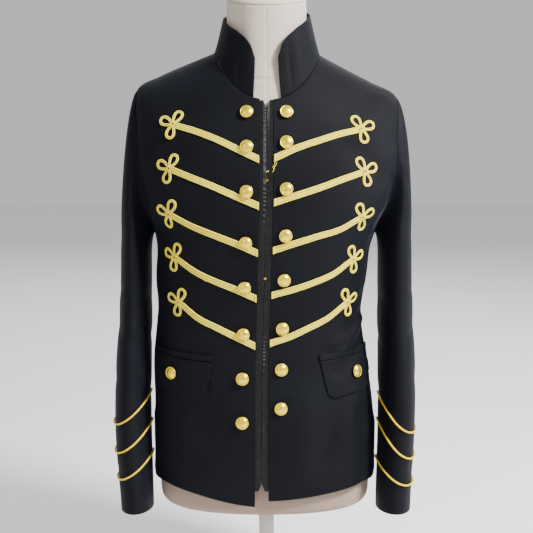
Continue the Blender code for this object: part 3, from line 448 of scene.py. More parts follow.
def edge_angle(side, t, half):
    """Angle at which the surface is half away from the centre front line."""
    phi = np.zeros(np.shape(t))
    for _ in range(12):
        z = torso(phi, t)[..., 2]
        reach = ring("half_width", t) * (1 + BOX * np.cos(phi)**2)
        phi = np.arcsin((centre_x(z) + side * half - ring("shift", t)) / reach)
    return phi


def hem_dip(points, phi, t, side):
    """Lower the hem towards the front corner."""
    near = np.exp(-(phi / DIP_ANGLE)**2) * np.clip(1 - t / 1.5, 0, 1)**2
    points[..., 2] -= DIP[side] * near
    return points


def edge_columns(count):
    """Fractions across a panel, closer together near its two edges."""
    part = np.linspace(0, 1, count)
    return part - 0.85 * np.sin(2 * pi * part) / (2 * pi)


def rolled(phi, t, first, last):
    """Lift that turns a panel's seam edges slightly inward."""
    near = np.minimum(np.abs(phi - first) if first is not None else 9.0,
                      np.abs(phi - last) if last is not None else 9.0) * CHEST_RADIUS
    return -ROLL_DEPTH * np.exp(-(near / ROLL_WIDTH)**2)


# Meshes

def metric_uv(mesh, points, closed):
    """UV in metres along the rows and columns, so that a weave keeps its scale."""
    middle_row, middle_col = points[len(points) // 2], points[:, points.shape[1] // 2]
    across, up = run_along(middle_row), run_along(middle_col)
    columns = points.shape[1]
    if closed:
        across = np.append(across, across[-1] + np.linalg.norm(middle_row[0] - middle_row[-1]))
    layer = mesh.uv_layers.new(name="metres")
    rows, cols = len(points) - 1, columns if closed else columns - 1
    row, col = np.divmod(np.arange(rows * cols), cols)
    u = np.stack((across[col], across[col + 1], across[col + 1], across[col]), axis=1)
    v = np.stack((up[row], up[row], up[row + 1], up[row + 1]), axis=1)
    layer.data.foreach_set("uv", np.stack((u, v), axis=2).ravel())


def grid_mesh(name, points, closed=False):
    """Mesh of quads through rows of points; closed joins the last column to the first."""
    rows, columns = points.shape[:2]
    row, col = np.divmod(np.arange((rows - 1) * (columns if closed else columns - 1)),
                         columns if closed else columns - 1)
    nxt = (col + 1) % columns
    faces = np.stack((row * columns + col, row * columns + nxt,
                      (row + 1) * columns + nxt, (row + 1) * columns + col), axis=1)
    mesh = bpy.data.meshes.new(name)
    mesh.from_pydata(points.reshape(-1, 3).tolist(), [], faces.tolist())
    metric_uv(mesh, points, closed)
    mesh.shade_smooth()
    return mesh


def piece(name, mesh, finish, slot, *nodes):
    """A visible piece on the one body, standing for the named nodes."""
    made = bpy.data.objects.new(name, mesh)
    bpy.context.scene.collection.objects.link(made)
    made.data.materials.clear()
    made.data.materials.append(finish)
    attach(made, "root")
    if nodes:
        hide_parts(*nodes)
    return made


def sheet_piece(name, points, finish, slot, node, wall, closed=False, flip=False):
    """Cloth shell through rows of points, in place of the cut that it shows."""
    shown = points[:, ::-1] if flip else points
    made = piece(name, grid_mesh(name, shown, closed), finish, slot, node)
    shell = made.modifiers.new("Wall", "SOLIDIFY")
    shell.thickness = wall
    shell.offset = -1
    return made


# Materials

def shader_of(name, roughness, metallic=0.0, sheen=0.0, sheen_roughness=0.5, coat=0.0):
    made = bpy.data.materials.new(name)
    made.use_nodes = True
    shader = made.node_tree.nodes["Principled BSDF"]
    shader.inputs["Roughness"].default_value = roughness
    shader.inputs["Metallic"].default_value = metallic
    shader.inputs["Sheen Weight"].default_value = sheen
    shader.inputs["Sheen Roughness"].default_value = sheen_roughness
    shader.inputs["Coat Weight"].default_value = coat
    return made, made.node_tree, shader


def node(tree, kind, **values):
    """New shader node with its inputs and settings set by name."""
    made = tree.nodes.new(kind)
    for name, value in values.items():
        if name in made.inputs:
            made.inputs[name].default_value = value
        else:
            setattr(made, name, value)
    return made


def noise(tree, vector, scale, detail=3.0, rough=0.5):
    made = node(tree, "ShaderNodeTexNoise", Scale=scale, Detail=detail, Roughness=rough)
    tree.links.new(vector, made.inputs["Vector"])
    return made.outputs["Fac"]


def blend_colour(tree, factor, low, high, start=0.3, end=0.7):
    ramp = node(tree, "ShaderNodeValToRGB")
    ramp.color_ramp.elements[0].position = start
    ramp.color_ramp.elements[1].position = end
    ramp.color_ramp.elements[0].color = (*low, 1)
    ramp.color_ramp.elements[1].color = (*high, 1)
    tree.links.new(factor, ramp.inputs["Fac"])
    return ramp.outputs["Color"]


def bands(tree, vector, pitch, degrees, distortion=0.0):
    """Fine parallel lines at a pitch in metres, turned in the UV plane."""
    turn = node(tree, "ShaderNodeMapping")
    turn.inputs["Rotation"].default_value = (0, 0, radians(degrees))
    tree.links.new(vector, turn.inputs["Vector"])
    wave = node(tree, "ShaderNodeTexWave", wave_type="BANDS", bands_direction="X",
                Scale=pi / (10 * pitch), Distortion=distortion)
    tree.links.new(turn.outputs["Vector"], wave.inputs["Vector"])
    return wave.outputs["Fac"]


def mix_values(tree, a, b, weight):
    """First value plus the second times its weight."""
    made = node(tree, "ShaderNodeMath", operation="MULTIPLY_ADD")
    tree.links.new(b, made.inputs[0])
    made.inputs[1].default_value = weight
    tree.links.new(a, made.inputs[2])
    return made.outputs[0]


def multiply_colour(tree, a, b, share):
    made = node(tree, "ShaderNodeMix", data_type="RGBA", blend_type="MULTIPLY")
    made.inputs["Factor"].default_value = share
    tree.links.new(a, made.inputs["A"])
    tree.links.new(b, made.inputs["B"])
    return made.outputs["Result"]


def bump(tree, shader, height, strength, distance):
    made = node(tree, "ShaderNodeBump", Strength=strength, Distance=distance)
    tree.links.new(height, made.inputs["Height"])
    tree.links.new(made.outputs["Normal"], shader.inputs["Normal"])


def coordinates(tree, kind):
    return node(tree, "ShaderNodeTexCoord").outputs[kind]


@lru_cache(None)
def wool():
    """Matt black twill with a fine diagonal, slight fading and lint."""
    made, tree, shader = shader_of("wool", 0.66, sheen=0.05, sheen_roughness=0.35)
    shader.inputs["Sheen Tint"].default_value = (0.55, 0.64, 0.90, 1)
    shader.inputs["Specular IOR Level"].default_value = 0.11
    uv, place = coordinates(tree, "UV"), coordinates(tree, "Object")
    twill = bands(tree, uv, 0.0009, 63, 0.4)
    cloud = noise(tree, place, 9.0, 4.0)
    fibre = noise(tree, place, 900.0, 3.0, 0.7)
    colour = blend_colour(tree, cloud, (0.0014, 0.0018, 0.0034), (0.0034, 0.0042, 0.0076))
    shade = blend_colour(tree, twill, (0.62, 0.62, 0.64), (1.0, 1.0, 1.0), 0.2, 0.8)
    tree.links.new(multiply_colour(tree, colour, shade, 0.45), shader.inputs["Base Color"])
    bump(tree, shader, mix_values(tree, twill, fibre, weight=0.7), 0.35, 0.0003)
    return made


@lru_cache(None)
def tape():
    """Shiny black ribbon with fine cross ribs."""
    made, tree, shader = shader_of("closure_tape", 0.38, sheen=0.02)
    shader.inputs["Specular IOR Level"].default_value = 0.20
    uv, place = coordinates(tree, "UV"), coordinates(tree, "Object")
    ribs = bands(tree, uv, 0.0008, 90, 0.3)
    colour = blend_colour(tree, noise(tree, place, 60.0), (0.0015, 0.0015, 0.0018), (0.0045, 0.0045, 0.0052))
    tree.links.new(colour, shader.inputs["Base Color"])
    bump(tree, shader, ribs, 0.4, 0.0003)
    return made


@lru_cache(None)
def braid(shade_grooves=True):
    """Pale gold woven cord: fine slanting threads with darker gaps, and painted shade in the grooves between
    the cords.
    """
    made, tree, shader = shader_of("gold_braid" if shade_grooves else "gold_cord", 0.50, metallic=0.15)
    shader.inputs["Specular IOR Level"].default_value = 0.25
    uv, place = coordinates(tree, "UV"), coordinates(tree, "Object")
    threads = bands(tree, uv, 0.0011, 38, 0.6)
    shade = mix_values(tree, threads, noise(tree, place, 180.0, 2.0), weight=0.5)
    colour = blend_colour(tree, shade, (0.78, 0.51, 0.012), (1.0, 0.90, 0.085), 0.25, 0.9)
    # Painted shade: dark lines along the grooves between the cords, multiplied into the colour when
    # shade_grooves is set
    groove_shade = blend_colour(tree, bands(tree, uv, CORD_PITCH, 90), (0.30, 0.22, 0.12), (1.0, 1.0, 1.0),
                           0.0, 0.35)
    groove_shaded_colour = multiply_colour(tree, colour, groove_shade, 1.0 if shade_grooves else 0.0)
    tree.links.new(groove_shaded_colour, shader.inputs["Base Color"])
    bump(tree, shader, threads, 0.6, 0.0004)
    return made


@lru_cache(None)
def gold():
    """Polished gold metal with faint brushing and worn patches."""
    made, tree, shader = shader_of("gold_button", 0.34, metallic=0.88)
    place = coordinates(tree, "Object")
    colour = blend_colour(tree, noise(tree, place, 140.0, 2.0), (0.86, 0.58, 0.020), (1.0, 0.81, 0.060))
    tree.links.new(colour, shader.inputs["Base Color"])
    dull = noise(tree, place, 420.0, 2.0)
    reach = node(tree, "ShaderNodeMapRange")
    reach.inputs["To Min"].default_value = 0.28
    reach.inputs["To Max"].default_value = 0.42
    tree.links.new(dull, reach.inputs["Value"])
    tree.links.new(reach.outputs["Result"], shader.inputs["Roughness"])
    bump(tree, shader, dull, 0.08, 0.0002)
    return made


@lru_cache(None)
def linen():
    """Natural linen: plain weave with slubs and small colour flecks, with painted shade that darkens it
    towards the bottom.
    """
    made, tree, shader = shader_of("linen", 0.88, sheen=0.12)
    uv, place = coordinates(tree, "UV"), coordinates(tree, "Object")
    warp, weft = bands(tree, uv, 0.0011, 0, 0.8), bands(tree, uv, 0.0011, 90, 0.8)
    weave = mix_values(tree, warp, weft, weight=0.9)
    slub = noise(tree, place, 240.0, 4.0, 0.65)
    tone = mix_values(tree, weave, slub, weight=0.9)
    # Painted shade: a darker, redder copy of the cloth is blended in by height, so the form is darker
    # towards the bottom
    lit_cloth = blend_colour(tree, tone, (0.30, 0.235, 0.185), (0.58, 0.500, 0.425), 0.5, 1.7)
    shaded_cloth = blend_colour(tree, tone, (0.15, 0.100, 0.072), (0.32, 0.235, 0.185), 0.5, 1.7)
    split = node(tree, "ShaderNodeSeparateXYZ")
    tree.links.new(place, split.inputs["Vector"])
    colour = node(tree, "ShaderNodeMix", data_type="RGBA")
    tree.links.new(blend_colour(tree, split.outputs["Z"], (0, 0, 0), (1, 1, 1), 0.30, 0.75),
                   colour.inputs["Factor"])
    tree.links.new(shaded_cloth, colour.inputs["A"])
    tree.links.new(lit_cloth, colour.inputs["B"])
    tree.links.new(colour.outputs["Result"], shader.inputs["Base Color"])
    bump(tree, shader, tone, 0.5, 0.0004)
    return made


@lru_cache(None)
def paint():
    """Satin pale paint of the stand, faintly mottled."""
    made, tree, shader = shader_of("stand_paint", 0.42, coat=0.15)
    place = coordinates(tree, "Object")
    cloud = noise(tree, place, 14.0, 4.0)
    tree.links.new(blend_colour(tree, cloud, (0.60, 0.58, 0.54), (0.68, 0.66, 0.62)),
                   shader.inputs["Base Color"])
    bump(tree, shader, noise(tree, place, 380.0, 2.0), 0.08, 0.0002)
    return made


# Jacket

def build_front(word, side):
    t = panel_rows()
    inner = edge_angle(side, t, EDGE_HALF)
    outer = side * (pi / 2 - SEAM / np.abs(ring("y_front", t)) - armhole_angle(t))
    phi = inner[:, None] + (outer - inner)[:, None] * edge_columns(90)
    rows = np.broadcast_to(t[:, None], phi.shape)
    points = cloth(phi, rows, rolled(phi, rows, None, outer[:, None]))
    points = hem_dip(points, phi, rows, side)
    return sheet_piece("cloth_front_" + word, points, wool(), "wool", "front_" + word, WALL,
                       flip=side < 0)


def build_back():
    t = panel_rows()
    start = pi / 2 + SEAM / ring("y_back", t) + armhole_angle(t)
    phi = start[:, None] + (2 * pi - 2 * start)[:, None] * edge_columns(130)
    rows = np.broadcast_to(t[:, None], phi.shape)
    points = cloth(phi, rows, rolled(phi, rows, start[:, None], 2 * pi - start[:, None]))
    return sheet_piece("cloth_back", points, wool(), "wool", "back", WALL)


def armhole_loop(side, turn):
    """Sleeve seam points: turn 0 is the shoulder tip, pi / 2 the front, pi the armpit."""
    spread = ARMHOLE_ANGLE - 2 * SEAM / CHEST_RADIUS
    middle, half = (T_TIP + T_ARMPIT) / 2, (T_TIP - T_ARMPIT) / 2 - 2 * SEAM / RING_HEIGHT
    phi = side * (pi / 2 - spread * np.sin(turn))
    return cloth(phi, middle + half * np.cos(turn), -ROLL_DEPTH)


def smooth_sleeve_value(name, z):
    """The sleeve table's column, smoothed over neighbouring heights."""
    table, column = SLEEVE[::-1], SLEEVE_COLUMNS.index(name)
    steps = (-0.03, -0.015, 0, 0.015, 0.03)
    return sum(np.interp(z + step, table[:, 0], table[:, column]) for step in steps) / len(steps)


def sleeve_section(side, turn, z):
    """Point of the hanging sleeve's outer surface at a turn and a height."""
    out, inn = smooth_sleeve_value("x_out", z), smooth_sleeve_value("x_in", z)
    out = out - (smooth_sleeve_value("right_trim", z) if side < 0 else 0)
    x = (out + inn) / 2 + (out - inn) / 2 * np.cos(turn)
    y = smooth_sleeve_value("y_mid", z) - smooth_sleeve_value("half_depth", z) * np.sin(turn)
    return np.stack((side * x + SLEEVE_SHIFT, y, z + 0 * x), axis=-1)


def sleeve_bump(turn, z):
    total = np.zeros(np.broadcast(turn, z).shape)
    for at, height, half_turn, half_height, slope, depth in MAIN_SLEEVE_FOLDS + FINE_SLEEVE_FOLDS:
        away = turn_from(turn, at)
        rise = (z - height - slope * away) / half_height
        total = total + depth * np.exp(-rise**2 - (away / half_turn)**2)
    return total


def sleeve_surface(side, turn, row):
    """Row 0 to 1 is the cap, blended from the armhole; row 1 to 2 hangs to the cuff."""
    turn, row = np.broadcast_arrays(turn, row)
    head = armhole_loop(side, turn)
    top_z = SLEEVE[0, 0]
    join = sleeve_section(side, turn, np.full(turn.shape, top_z))
    high = (1 + np.cos(turn)) / 2
    reach = CAP_REACH_LOW + (CAP_REACH_TOP[side] - CAP_REACH_LOW) * high**0.6
    leave = np.stack((side * reach, 0 * reach, CAP_LEAVE * reach * high), axis=-1)
    drop = (head[..., 2:] - top_z) * CAP_ARRIVE
    arrive = np.concatenate((0 * drop, 0 * drop, drop), axis=-1)
    u = np.clip(row, 0, 1)[..., None]
    cap = (head * (1 - u)**3 + 3 * (head + leave) * u * (1 - u)**2
           + 3 * (join + arrive) * u**2 * (1 - u) + join * u**3)
    low_z = SLEEVE[-1, 0]
    down = top_z + (low_z - top_z) * np.clip(row - 1, 0, 1)
    hang = sleeve_section(side, turn, down)
    tube = np.where(row[..., None] <= 1, cap, hang)
    out = np.stack((side * np.cos(turn), -np.sin(turn), 0 * turn), axis=-1)
    lower = np.clip(row - 1, 0, 1)
    tube = tube + out * (sleeve_bump(turn, tube[..., 2]) * np.clip(row * 2, 0, 1))[..., None]
    tube[..., 2] += -CUFF_SLOPE * (tube[..., 1] - SLEEVE[-1, 3]) * lower**4
    return tube


def build_sleeve(word, side):
    cap = np.linspace(0, 1, 46, endpoint=False)**1.3
    rows = np.concatenate((cap, np.linspace(1, 2, 110)))
    turn, row = np.meshgrid(full_turn(112), rows)
    points = sleeve_surface(side, turn, row)
    return sheet_piece("cloth_sleeve_" + word, points, wool(), "wool", "sleeve_" + word, WALL,
                       closed=True, flip=side < 0)


def collar_point(phi, rise):
    """Point of the collar: rise 0 on the neckline, 1 on its free edge."""
    foot = torso(phi, np.full(np.shape(phi), T_NECK))
    foot[..., 2] += SEAM
    s, c = np.sin(phi), np.cos(phi)
    degrees, heights = np.array(COLLAR_EDGE).T
    turn = np.degrees(np.arccos(np.clip(c, -1, 1)))
    top_z = sum(np.interp(turn + step, degrees, heights) for step in COLLAR_SMOOTH) / len(COLLAR_SMOOTH)
    depth = np.where(c > 0, -COLLAR_TOP_FRONT, COLLAR_TOP_BACK)
    top_x = COLLAR_TOP_HALF_WIDTH * s * (1 + BOX * c**2)
    top = np.stack((top_x, -depth * c, top_z + COLLAR_TILT * top_x), axis=-1)
    lean = rise[..., None]**0.85
    flat = foot + (top - foot) * np.concatenate((lean, lean, rise[..., None]), axis=-1)
    streak = sum(depth * np.exp(-(turn_from(phi, at) / half)**2)
                 for at, half, depth in COLLAR_STREAKS)
    out = np.stack((s, -c, 0 * s), axis=-1)
    return flat + out * (streak * np.sin(pi * np.clip(rise, 0, 1))**0.7)[..., None]


def build_collar():
    start = float(np.arcsin(COLLAR_FRONT_X / NECK_RADIUS))
    near = np.linspace(0, 0.35, 50)
    quarter = np.concatenate((start + near, np.linspace(start + 0.35, pi, 90)[1:]))
    phi = np.concatenate((quarter, 2 * pi - quarter[-2::-1]))
    rows, angles = np.meshgrid(np.linspace(0, 1, 26), phi, indexing="ij")
    return sheet_piece("cloth_collar", collar_point(angles, rows), wool(), "wool", "collar",
                       COLLAR_WALL)


def build_tape(word, side):
    """One strip of the closure, puckered, notched at the top and the foot."""
    part = np.concatenate((np.linspace(0, TAPE_FLAT, 9), np.linspace(TAPE_FLAT, 1, 9)[1:]))
    across = EDGE_HALF - 0.0001 - (EDGE_HALF - 0.0004) * part
    notch = np.clip((part - TAPE_FLAT) / (1 - TAPE_FLAT), 0, 1)
    top = TAPE_TOP + (TAPE_NOTCH_TOP - TAPE_TOP) * notch
    foot = TAPE_FOOT + (TAPE_NOTCH_FOOT - TAPE_FOOT) * notch
    z = foot + (top - foot) * np.linspace(0, 1, 420)[:, None]
    phi, t = front_place(centre_x(z) + side * across, z)
    beat = z / PUCKER_PITCH + 0.8 * np.sin(z * 41 + side) + 0.5 * np.sin(z * 97 + 2 * side)
    pucker = PUCKER_DEPTH * np.sin(2 * pi * beat + part) * (0.35 + 0.65 * np.sin(z * 23 + side)**2)
    points = cloth(phi, t, -TAPE_RECESS + pucker * np.sin(pi * (0.15 + 0.7 * part)))
    return sheet_piece("closure_tape_" + word, points, tape(), "closure_tape", "hook_tape_" + word,
                       TAPE_THICK, flip=side > 0)


def build_eyes():
    """Small metal eyes that show between the tapes."""
    rings = []
    for side, z in EYES:
        x = float(centre_x(z)) + side * 0.0010
        phi, t = front_place(x, z)
        middle = cloth(phi, t, -0.0001)
        turn = full_turn(20)[:, None]
        small = full_turn(8)
        radius = EYE_RADIUS + EYE_WIRE * np.cos(small)
        points = np.stack((radius * np.cos(turn), -EYE_WIRE * np.sin(small) + 0 * turn,
                           0.8 * radius * np.sin(turn)), axis=-1)
        rings.append(points.reshape(-1, 3) + middle)
    return join_tubes("closure_eyes", rings, 20, 8, gold(), "gold_button")


def tube_faces(base, rows, columns, closed):
    """Quads of a tube; closed joins its last ring of points to the first."""
    faces = []
    for i in range(rows if closed else rows - 1):
        a, b = base + i * columns, base + (i + 1) % rows * columns
        for j in range(columns):
            k = (j + 1) % columns
            faces.append((a + j, b + j, b + k, a + k))
    return faces


def join_tubes(name, rings, around, sides, finish, slot, *nodes):
    """One mesh of closed tubes, each given as around times sides points."""
    verts, faces = [], []
    for points in rings:
        base = len(verts)
        verts.extend(points.tolist())
        faces += tube_faces(base, around, sides, True)
    mesh = bpy.data.meshes.new(name)
    mesh.from_pydata(verts, [], faces)
    mesh.shade_smooth()
    return piece(name, mesh, finish, slot, *nodes)


def turned_mesh(name, profile, segments):
    """Surface of revolution about Z, from its profile of (radius, height) points."""
    turn = full_turn(segments)
    rows = [np.stack((radius * np.cos(turn), radius * np.sin(turn), height + 0 * turn), axis=1)
            for radius, height in profile]
    return grid_mesh(name, np.array(rows[::-1]), closed=True)


def build_button(name, x, z, lift, node_name):
    """Domed button with a raised rim, its axis along the cloth's normal."""
    profile = [(max(radius, 1e-5), height) for radius, height in BUTTON_PROFILE]
    phi, t = front_place(x, z)
    foot, axis = Vector(cloth(phi, t, lift)), Vector(normal(torso, phi, t))
    made = piece(name, turned_mesh(name, profile, 40), gold(), "gold_button", node_name)
    made.data.transform(Matrix.Translation(foot) @ axis.to_track_quat("Z", "Y").to_matrix().to_4x4())
    return made


def settle(points, phi, t, step=1e-3):
    """Angle and ring number of the surface points nearest to these points."""
    phi, t = phi + np.zeros(points.shape[:-1]), t + np.zeros(points.shape[:-1])
    for _ in range(6):
        a = (torso(phi + step, t) - torso(phi - step, t)) / (2 * step)
        b = (torso(phi, t + step) - torso(phi, t - step)) / (2 * step)
        gap = points - torso(phi, t)
        aa, ab, bb = (a * a).sum(axis=-1), (a * b).sum(axis=-1), (b * b).sum(axis=-1)
        ga, gb = (a * gap).sum(axis=-1), (b * gap).sum(axis=-1)
        spread = aa * bb - ab**2
        phi = phi + (ga * bb - gb * ab) / spread
        t = np.clip(t + (gb * aa - ga * ab) / spread, T_HEM, T_NECK)
    return phi, t


def bar_line(side, row, part):
    """Front view place of the bar's middle line, from part 0, inner, to 1, the hub."""
    start = float(centre_x(row["inner_z"])) + side * (EDGE_HALF + 0.0005)
    x = start + (side * row["hub_x"] - start) * part
    sags = np.array((0, row["sag_1"], row["sag_2"], row["sag_3"], 0))
    return x, row["inner_z"] + (row["hub_z"] - row["inner_z"]) * part + spline(sags, part * 4)


def bar_strip(side, row, part, shares, lifts):
    """Cloth points across the bar at shares from -1, its lower edge, to 1, its upper."""
    phi, t = front_place(*bar_line(side, row, part))
    points = torso(phi, t)
    run = unit(np.gradient(points, axis=0))
    upright = np.cross(normal(torso, phi, t), (1.0, 0.0, 0.0))
    upright *= np.sign(upright[:, 2:]) / np.linalg.norm(upright, axis=1, keepdims=True)
    half = (BAR_HALF + (BAR_HALF_HUB - BAR_HALF) * part) / np.linalg.norm(np.cross(upright, run), axis=1)
    spread = points[:, None] + upright[:, None] * (half[:, None] * shares)[..., None]
    return cloth(*settle(spread, phi[:, None], t[:, None]), lifts)


def loop_strip(side, row, degrees, length, lift):
    """Cloth points across one trefoil loop, out from the hub and back to it."""
    u = np.linspace(0.015, 0.985, 72)
    out = (length - CORD_HALF) * np.sin(pi * u)
    across = LOOP_HALF_WIDTH * np.sin(2 * pi * u)
    a = radians(degrees)
    path = np.stack((out * cos(a) - across * sin(a), out * sin(a) + across * cos(a)), axis=1)
    along = unit(np.gradient(path, axis=0))
    left = np.stack((-along[:, 1], along[:, 0]), axis=1)
    profile = np.array(CORD_PROFILE)
    flat = path[:, None] + left[:, None] * (profile[None, :, :1] * CORD_HALF)
    phi, t = front_place(side * row["hub_x"], row["hub_z"])
    face = normal(torso, phi, t)
    level = np.array((-face[1], face[0], 0.0)) * side
    level /= np.linalg.norm(level)
    up = side * np.cross(face, level)
    points = torso(phi, t) + flat[..., :1] * level + flat[..., 1:] * up
    near_hub = np.exp(-(np.hypot(*path.T) / 0.006)**2)
    lifts = LAID_ON + lift * near_hub[:, None] + profile[None, :, 1] * CORD_HEIGHT
    return cloth(*settle(points, phi, t), lifts)


def thread_strip(path):
    """Loose thread along front view points, as a thin open tube."""
    x, z = np.array(path).T
    u = np.linspace(0, len(path) - 1, 28)
    phi, t = front_place(spline(x, u), spline(z, u))
    middle, out = cloth(phi, t, LAID_ON + 2 * THREAD_RADIUS), normal(torso, phi, t)
    across = np.cross(unit(np.gradient(middle, axis=0)), out)
    angle = full_turn(7)[:, None]
    return middle[:, None] + THREAD_RADIUS * (np.cos(angle) * across[:, None] + np.sin(angle) * out[:, None])


def build_braid(word, side, number, row):
    """Bar of two cords and its trefoil, sewn on a front."""
    profile = np.array(CORD_PROFILE)
    part = np.linspace(0, 0.975, 96)
    lifts = LAID_ON + profile[None, :, 1] * CORD_HEIGHT + 0 * part[:, None]
    strips = [bar_strip(side, row, part, middle + profile[None, :, 0] / 2, lifts)
              for middle in (-0.5, 0.5)]
    width = END_BAND / (row["hub_x"] - EDGE_HALF)
    start, shares = np.linspace(0, width, 7), np.linspace(-1.03, 1.03, 30)[None]
    band = bar_strip(side, row, start, shares, 0.0)
    out = bar_strip(side, row, start, shares, 1.0) - band
    crown = np.array((0.0, 0.7, 1.0, 0.85, 1.0, 0.7, 0.0))[:, None]
    ends = np.minimum(1, 6 * (1 - np.abs(np.linspace(-1, 1, 30))))[None]
    rise = LAID_ON + (CORD_HEIGHT + 0.0005) * crown * (0.4 + 0.6 * ends)
    strips.append(np.swapaxes(band + out * rise[..., None], 0, 1)[:, ::-1])
    strips += [loop_strip(side, row, degrees, length, 0.0004 * (order + 1))
               for order, (degrees, length) in enumerate(LOOPS)]
    strips += [thread_strip(path) for path in THREADS.get((side, number), ())]
    return strip_piece(f"braid_{word}_{number}_cords", strips, side, f"braid_{word}_{number}")


def strip_piece(name, strips, side, node_name):
    """One mesh of open strips, each closed underneath and at its ends."""
    verts, faces, uvs = [], [], []
    for points in strips:
        if side < 0:
            points = points[:, ::-1]
        rows, columns = points.shape[:2]
        base = len(verts)
        verts.extend(points.reshape(-1, 3).tolist())
        run = run_along(points[:, 3])
        faces += tube_faces(base, rows, columns, False)
        for i in range(rows - 1):
            for j in range(columns):
                low, high = j * CORD_PITCH / 5, (j + 1) * CORD_PITCH / 5
                uvs += [(run[i], low), (run[i + 1], low), (run[i + 1], high), (run[i], high)]
        for i, order in ((0, 1), (rows - 1, -1)):
            cap = [base + i * columns + j for j in range(columns)][::order]
            faces.append(cap)
            uvs += [(run[i], 0.0)] * columns
    mesh = bpy.data.meshes.new(name)
    mesh.from_pydata(verts, [], faces)
    mesh.uv_layers.new(name="metres").data.foreach_set("uv", np.array(uvs).ravel())
    mesh.shade_smooth()
    return piece(name, mesh, braid(), "gold_braid", node_name)


def flap_top(along):
    return FLAP_TOP + FLAP_RISE * along / FLAP_LENGTH


def build_flap(word, side):
    """Pocket flap with rounded lower corners, laid on the front."""
    along = FLAP_LENGTH * edge_columns(90)
    from_corner = np.clip(1 - np.minimum(along, FLAP_LENGTH - along) / FLAP_CORNER, 0, 1)
    lift_corner = FLAP_CORNER * (1 - np.sqrt(1 - from_corner**2))
    part = np.linspace(0, 1, 30)[:, None]
    foot = flap_top(along) - FLAP_DEPTH + FLAP_TAPER * along / FLAP_LENGTH + lift_corner
    z = foot + (flap_top(along) - foot) * part
    start = arc_of(side, side * FLAP_X, FLAP_TOP)
    arc = start + along + FLAP_SLANT * (1 - part) * (1 - 2 * along / FLAP_LENGTH)
    swell = 0.0012 * np.sin(pi * np.clip(along / FLAP_LENGTH, 0, 1))**0.5 * (1 - part)
    points = wrapped(side, arc, z, FLAP_TOP, FLAP_LIFT + FLAP_THICK + swell)
    return sheet_piece("cloth_flap_" + word, points, wool(), "wool", "pocket_flap_" + word,
                       FLAP_THICK, flip=side < 0)


def build_welt(word, side):
    """Narrow folded strip over the pocket flap."""
    along = np.linspace(-0.001, FLAP_LENGTH + 0.001, 80)
    turn = np.linspace(-1, 1, 15)[:, None]
    foot = flap_top(along) + WELT_GAP
    z = foot + WELT_DEPTH * (1 + np.sin(turn * pi / 2)) / 2
    start = arc_of(side, side * FLAP_X, FLAP_TOP)
    arc = np.broadcast_to(start + along, z.shape)
    rounding = -WELT_THICK * np.abs(turn)**8
    points = wrapped(side, arc, z, FLAP_TOP, LAID_ON + 2 * WELT_THICK + rounding)
    return sheet_piece("cloth_welt_" + word, points, wool(), "wool", "pocket_welt_" + word,
                       WELT_THICK * 0.7, flip=side < 0)


def build_cuff_cord(word, side, number, low, high):
    """Twisted gold cord round the sleeve, low outside and high inside."""
    turn = full_turn(220)
    z = low + (high - low) * ((1 - np.cos(turn)) / 2)**CUFF_CORD_BEND[side]
    top_z, low_z = SLEEVE[0, 0], SLEEVE[-1, 0]
    row = 1 + (top_z - z) / (top_z - low_z)
    points = sleeve_surface(side, turn, row)
    out = normal(lambda a, b: sleeve_surface(side, a, b), turn, row)
    out *= np.sign(((points - points.mean(axis=0)) * out).sum(axis=1))[:, None]
    points = points + out * (CUFF_CORD_RADIUS + LAID_ON)
    up = np.cross(unit(np.roll(points, -1, axis=0) - np.roll(points, 1, axis=0)), out)
    sides = 10
    angle = full_turn(sides)
    radius = CUFF_CORD_RADIUS * (1 + 0.10 * np.cos(3 * angle[None] - 60 * turn[:, None]))
    tube = (points[:, None] + out[:, None] * (np.cos(angle) * radius)[..., None]
            + up[:, None] * (np.sin(angle) * radius)[..., None])
    name = f"cuff_cord_{word}_{number}"
    return join_tubes(name + "_twist", [tube.reshape(-1, 3)], len(turn), sides, braid(False),
                      "gold_braid", name)


# Dress form and stand

def form_ring(phi, t):
    """Dress form under the cloth: the same surface moved in."""
    t = np.full(np.shape(phi), t)
    sink = WALL + ring("form_gap", t)
    return torso(phi, t) - normal(torso, phi, inside(t)) * sink[..., None]


def neck_ring(phi, z_mid, half_width, half_depth, y_mid, slope):
    x = half_width * np.sin(phi)
    y = y_mid - half_depth * np.cos(phi)
    return np.stack((x, y, z_mid + slope * (y - y_mid)), axis=-1)


def shrunk(points, z, inset):
    """Ring of the same shape, level at z and moved in by inset."""
    flat = points.copy()
    middle = flat.mean(axis=0)
    span = np.abs(flat - middle).max(axis=0)
    for axis in (0, 1):
        flat[:, axis] = middle[axis] + (flat[:, axis] - middle[axis]) * (1 - inset / span[axis])
    flat[:, 2] = z
    return flat


def seam_groove(points, phi):
    """Press a narrow groove along the form's seams."""
    middle = points.mean(axis=1, keepdims=True)
    out = points - middle
    out[..., 2] = 0
    out = unit(out)
    near = np.min([np.abs(turn_from(phi, seam)) for seam in FORM_SEAMS], axis=0)
    return points - out * (GROOVE_DEPTH * np.exp(-(near / GROOVE_ANGLE)**2))[None, :, None]


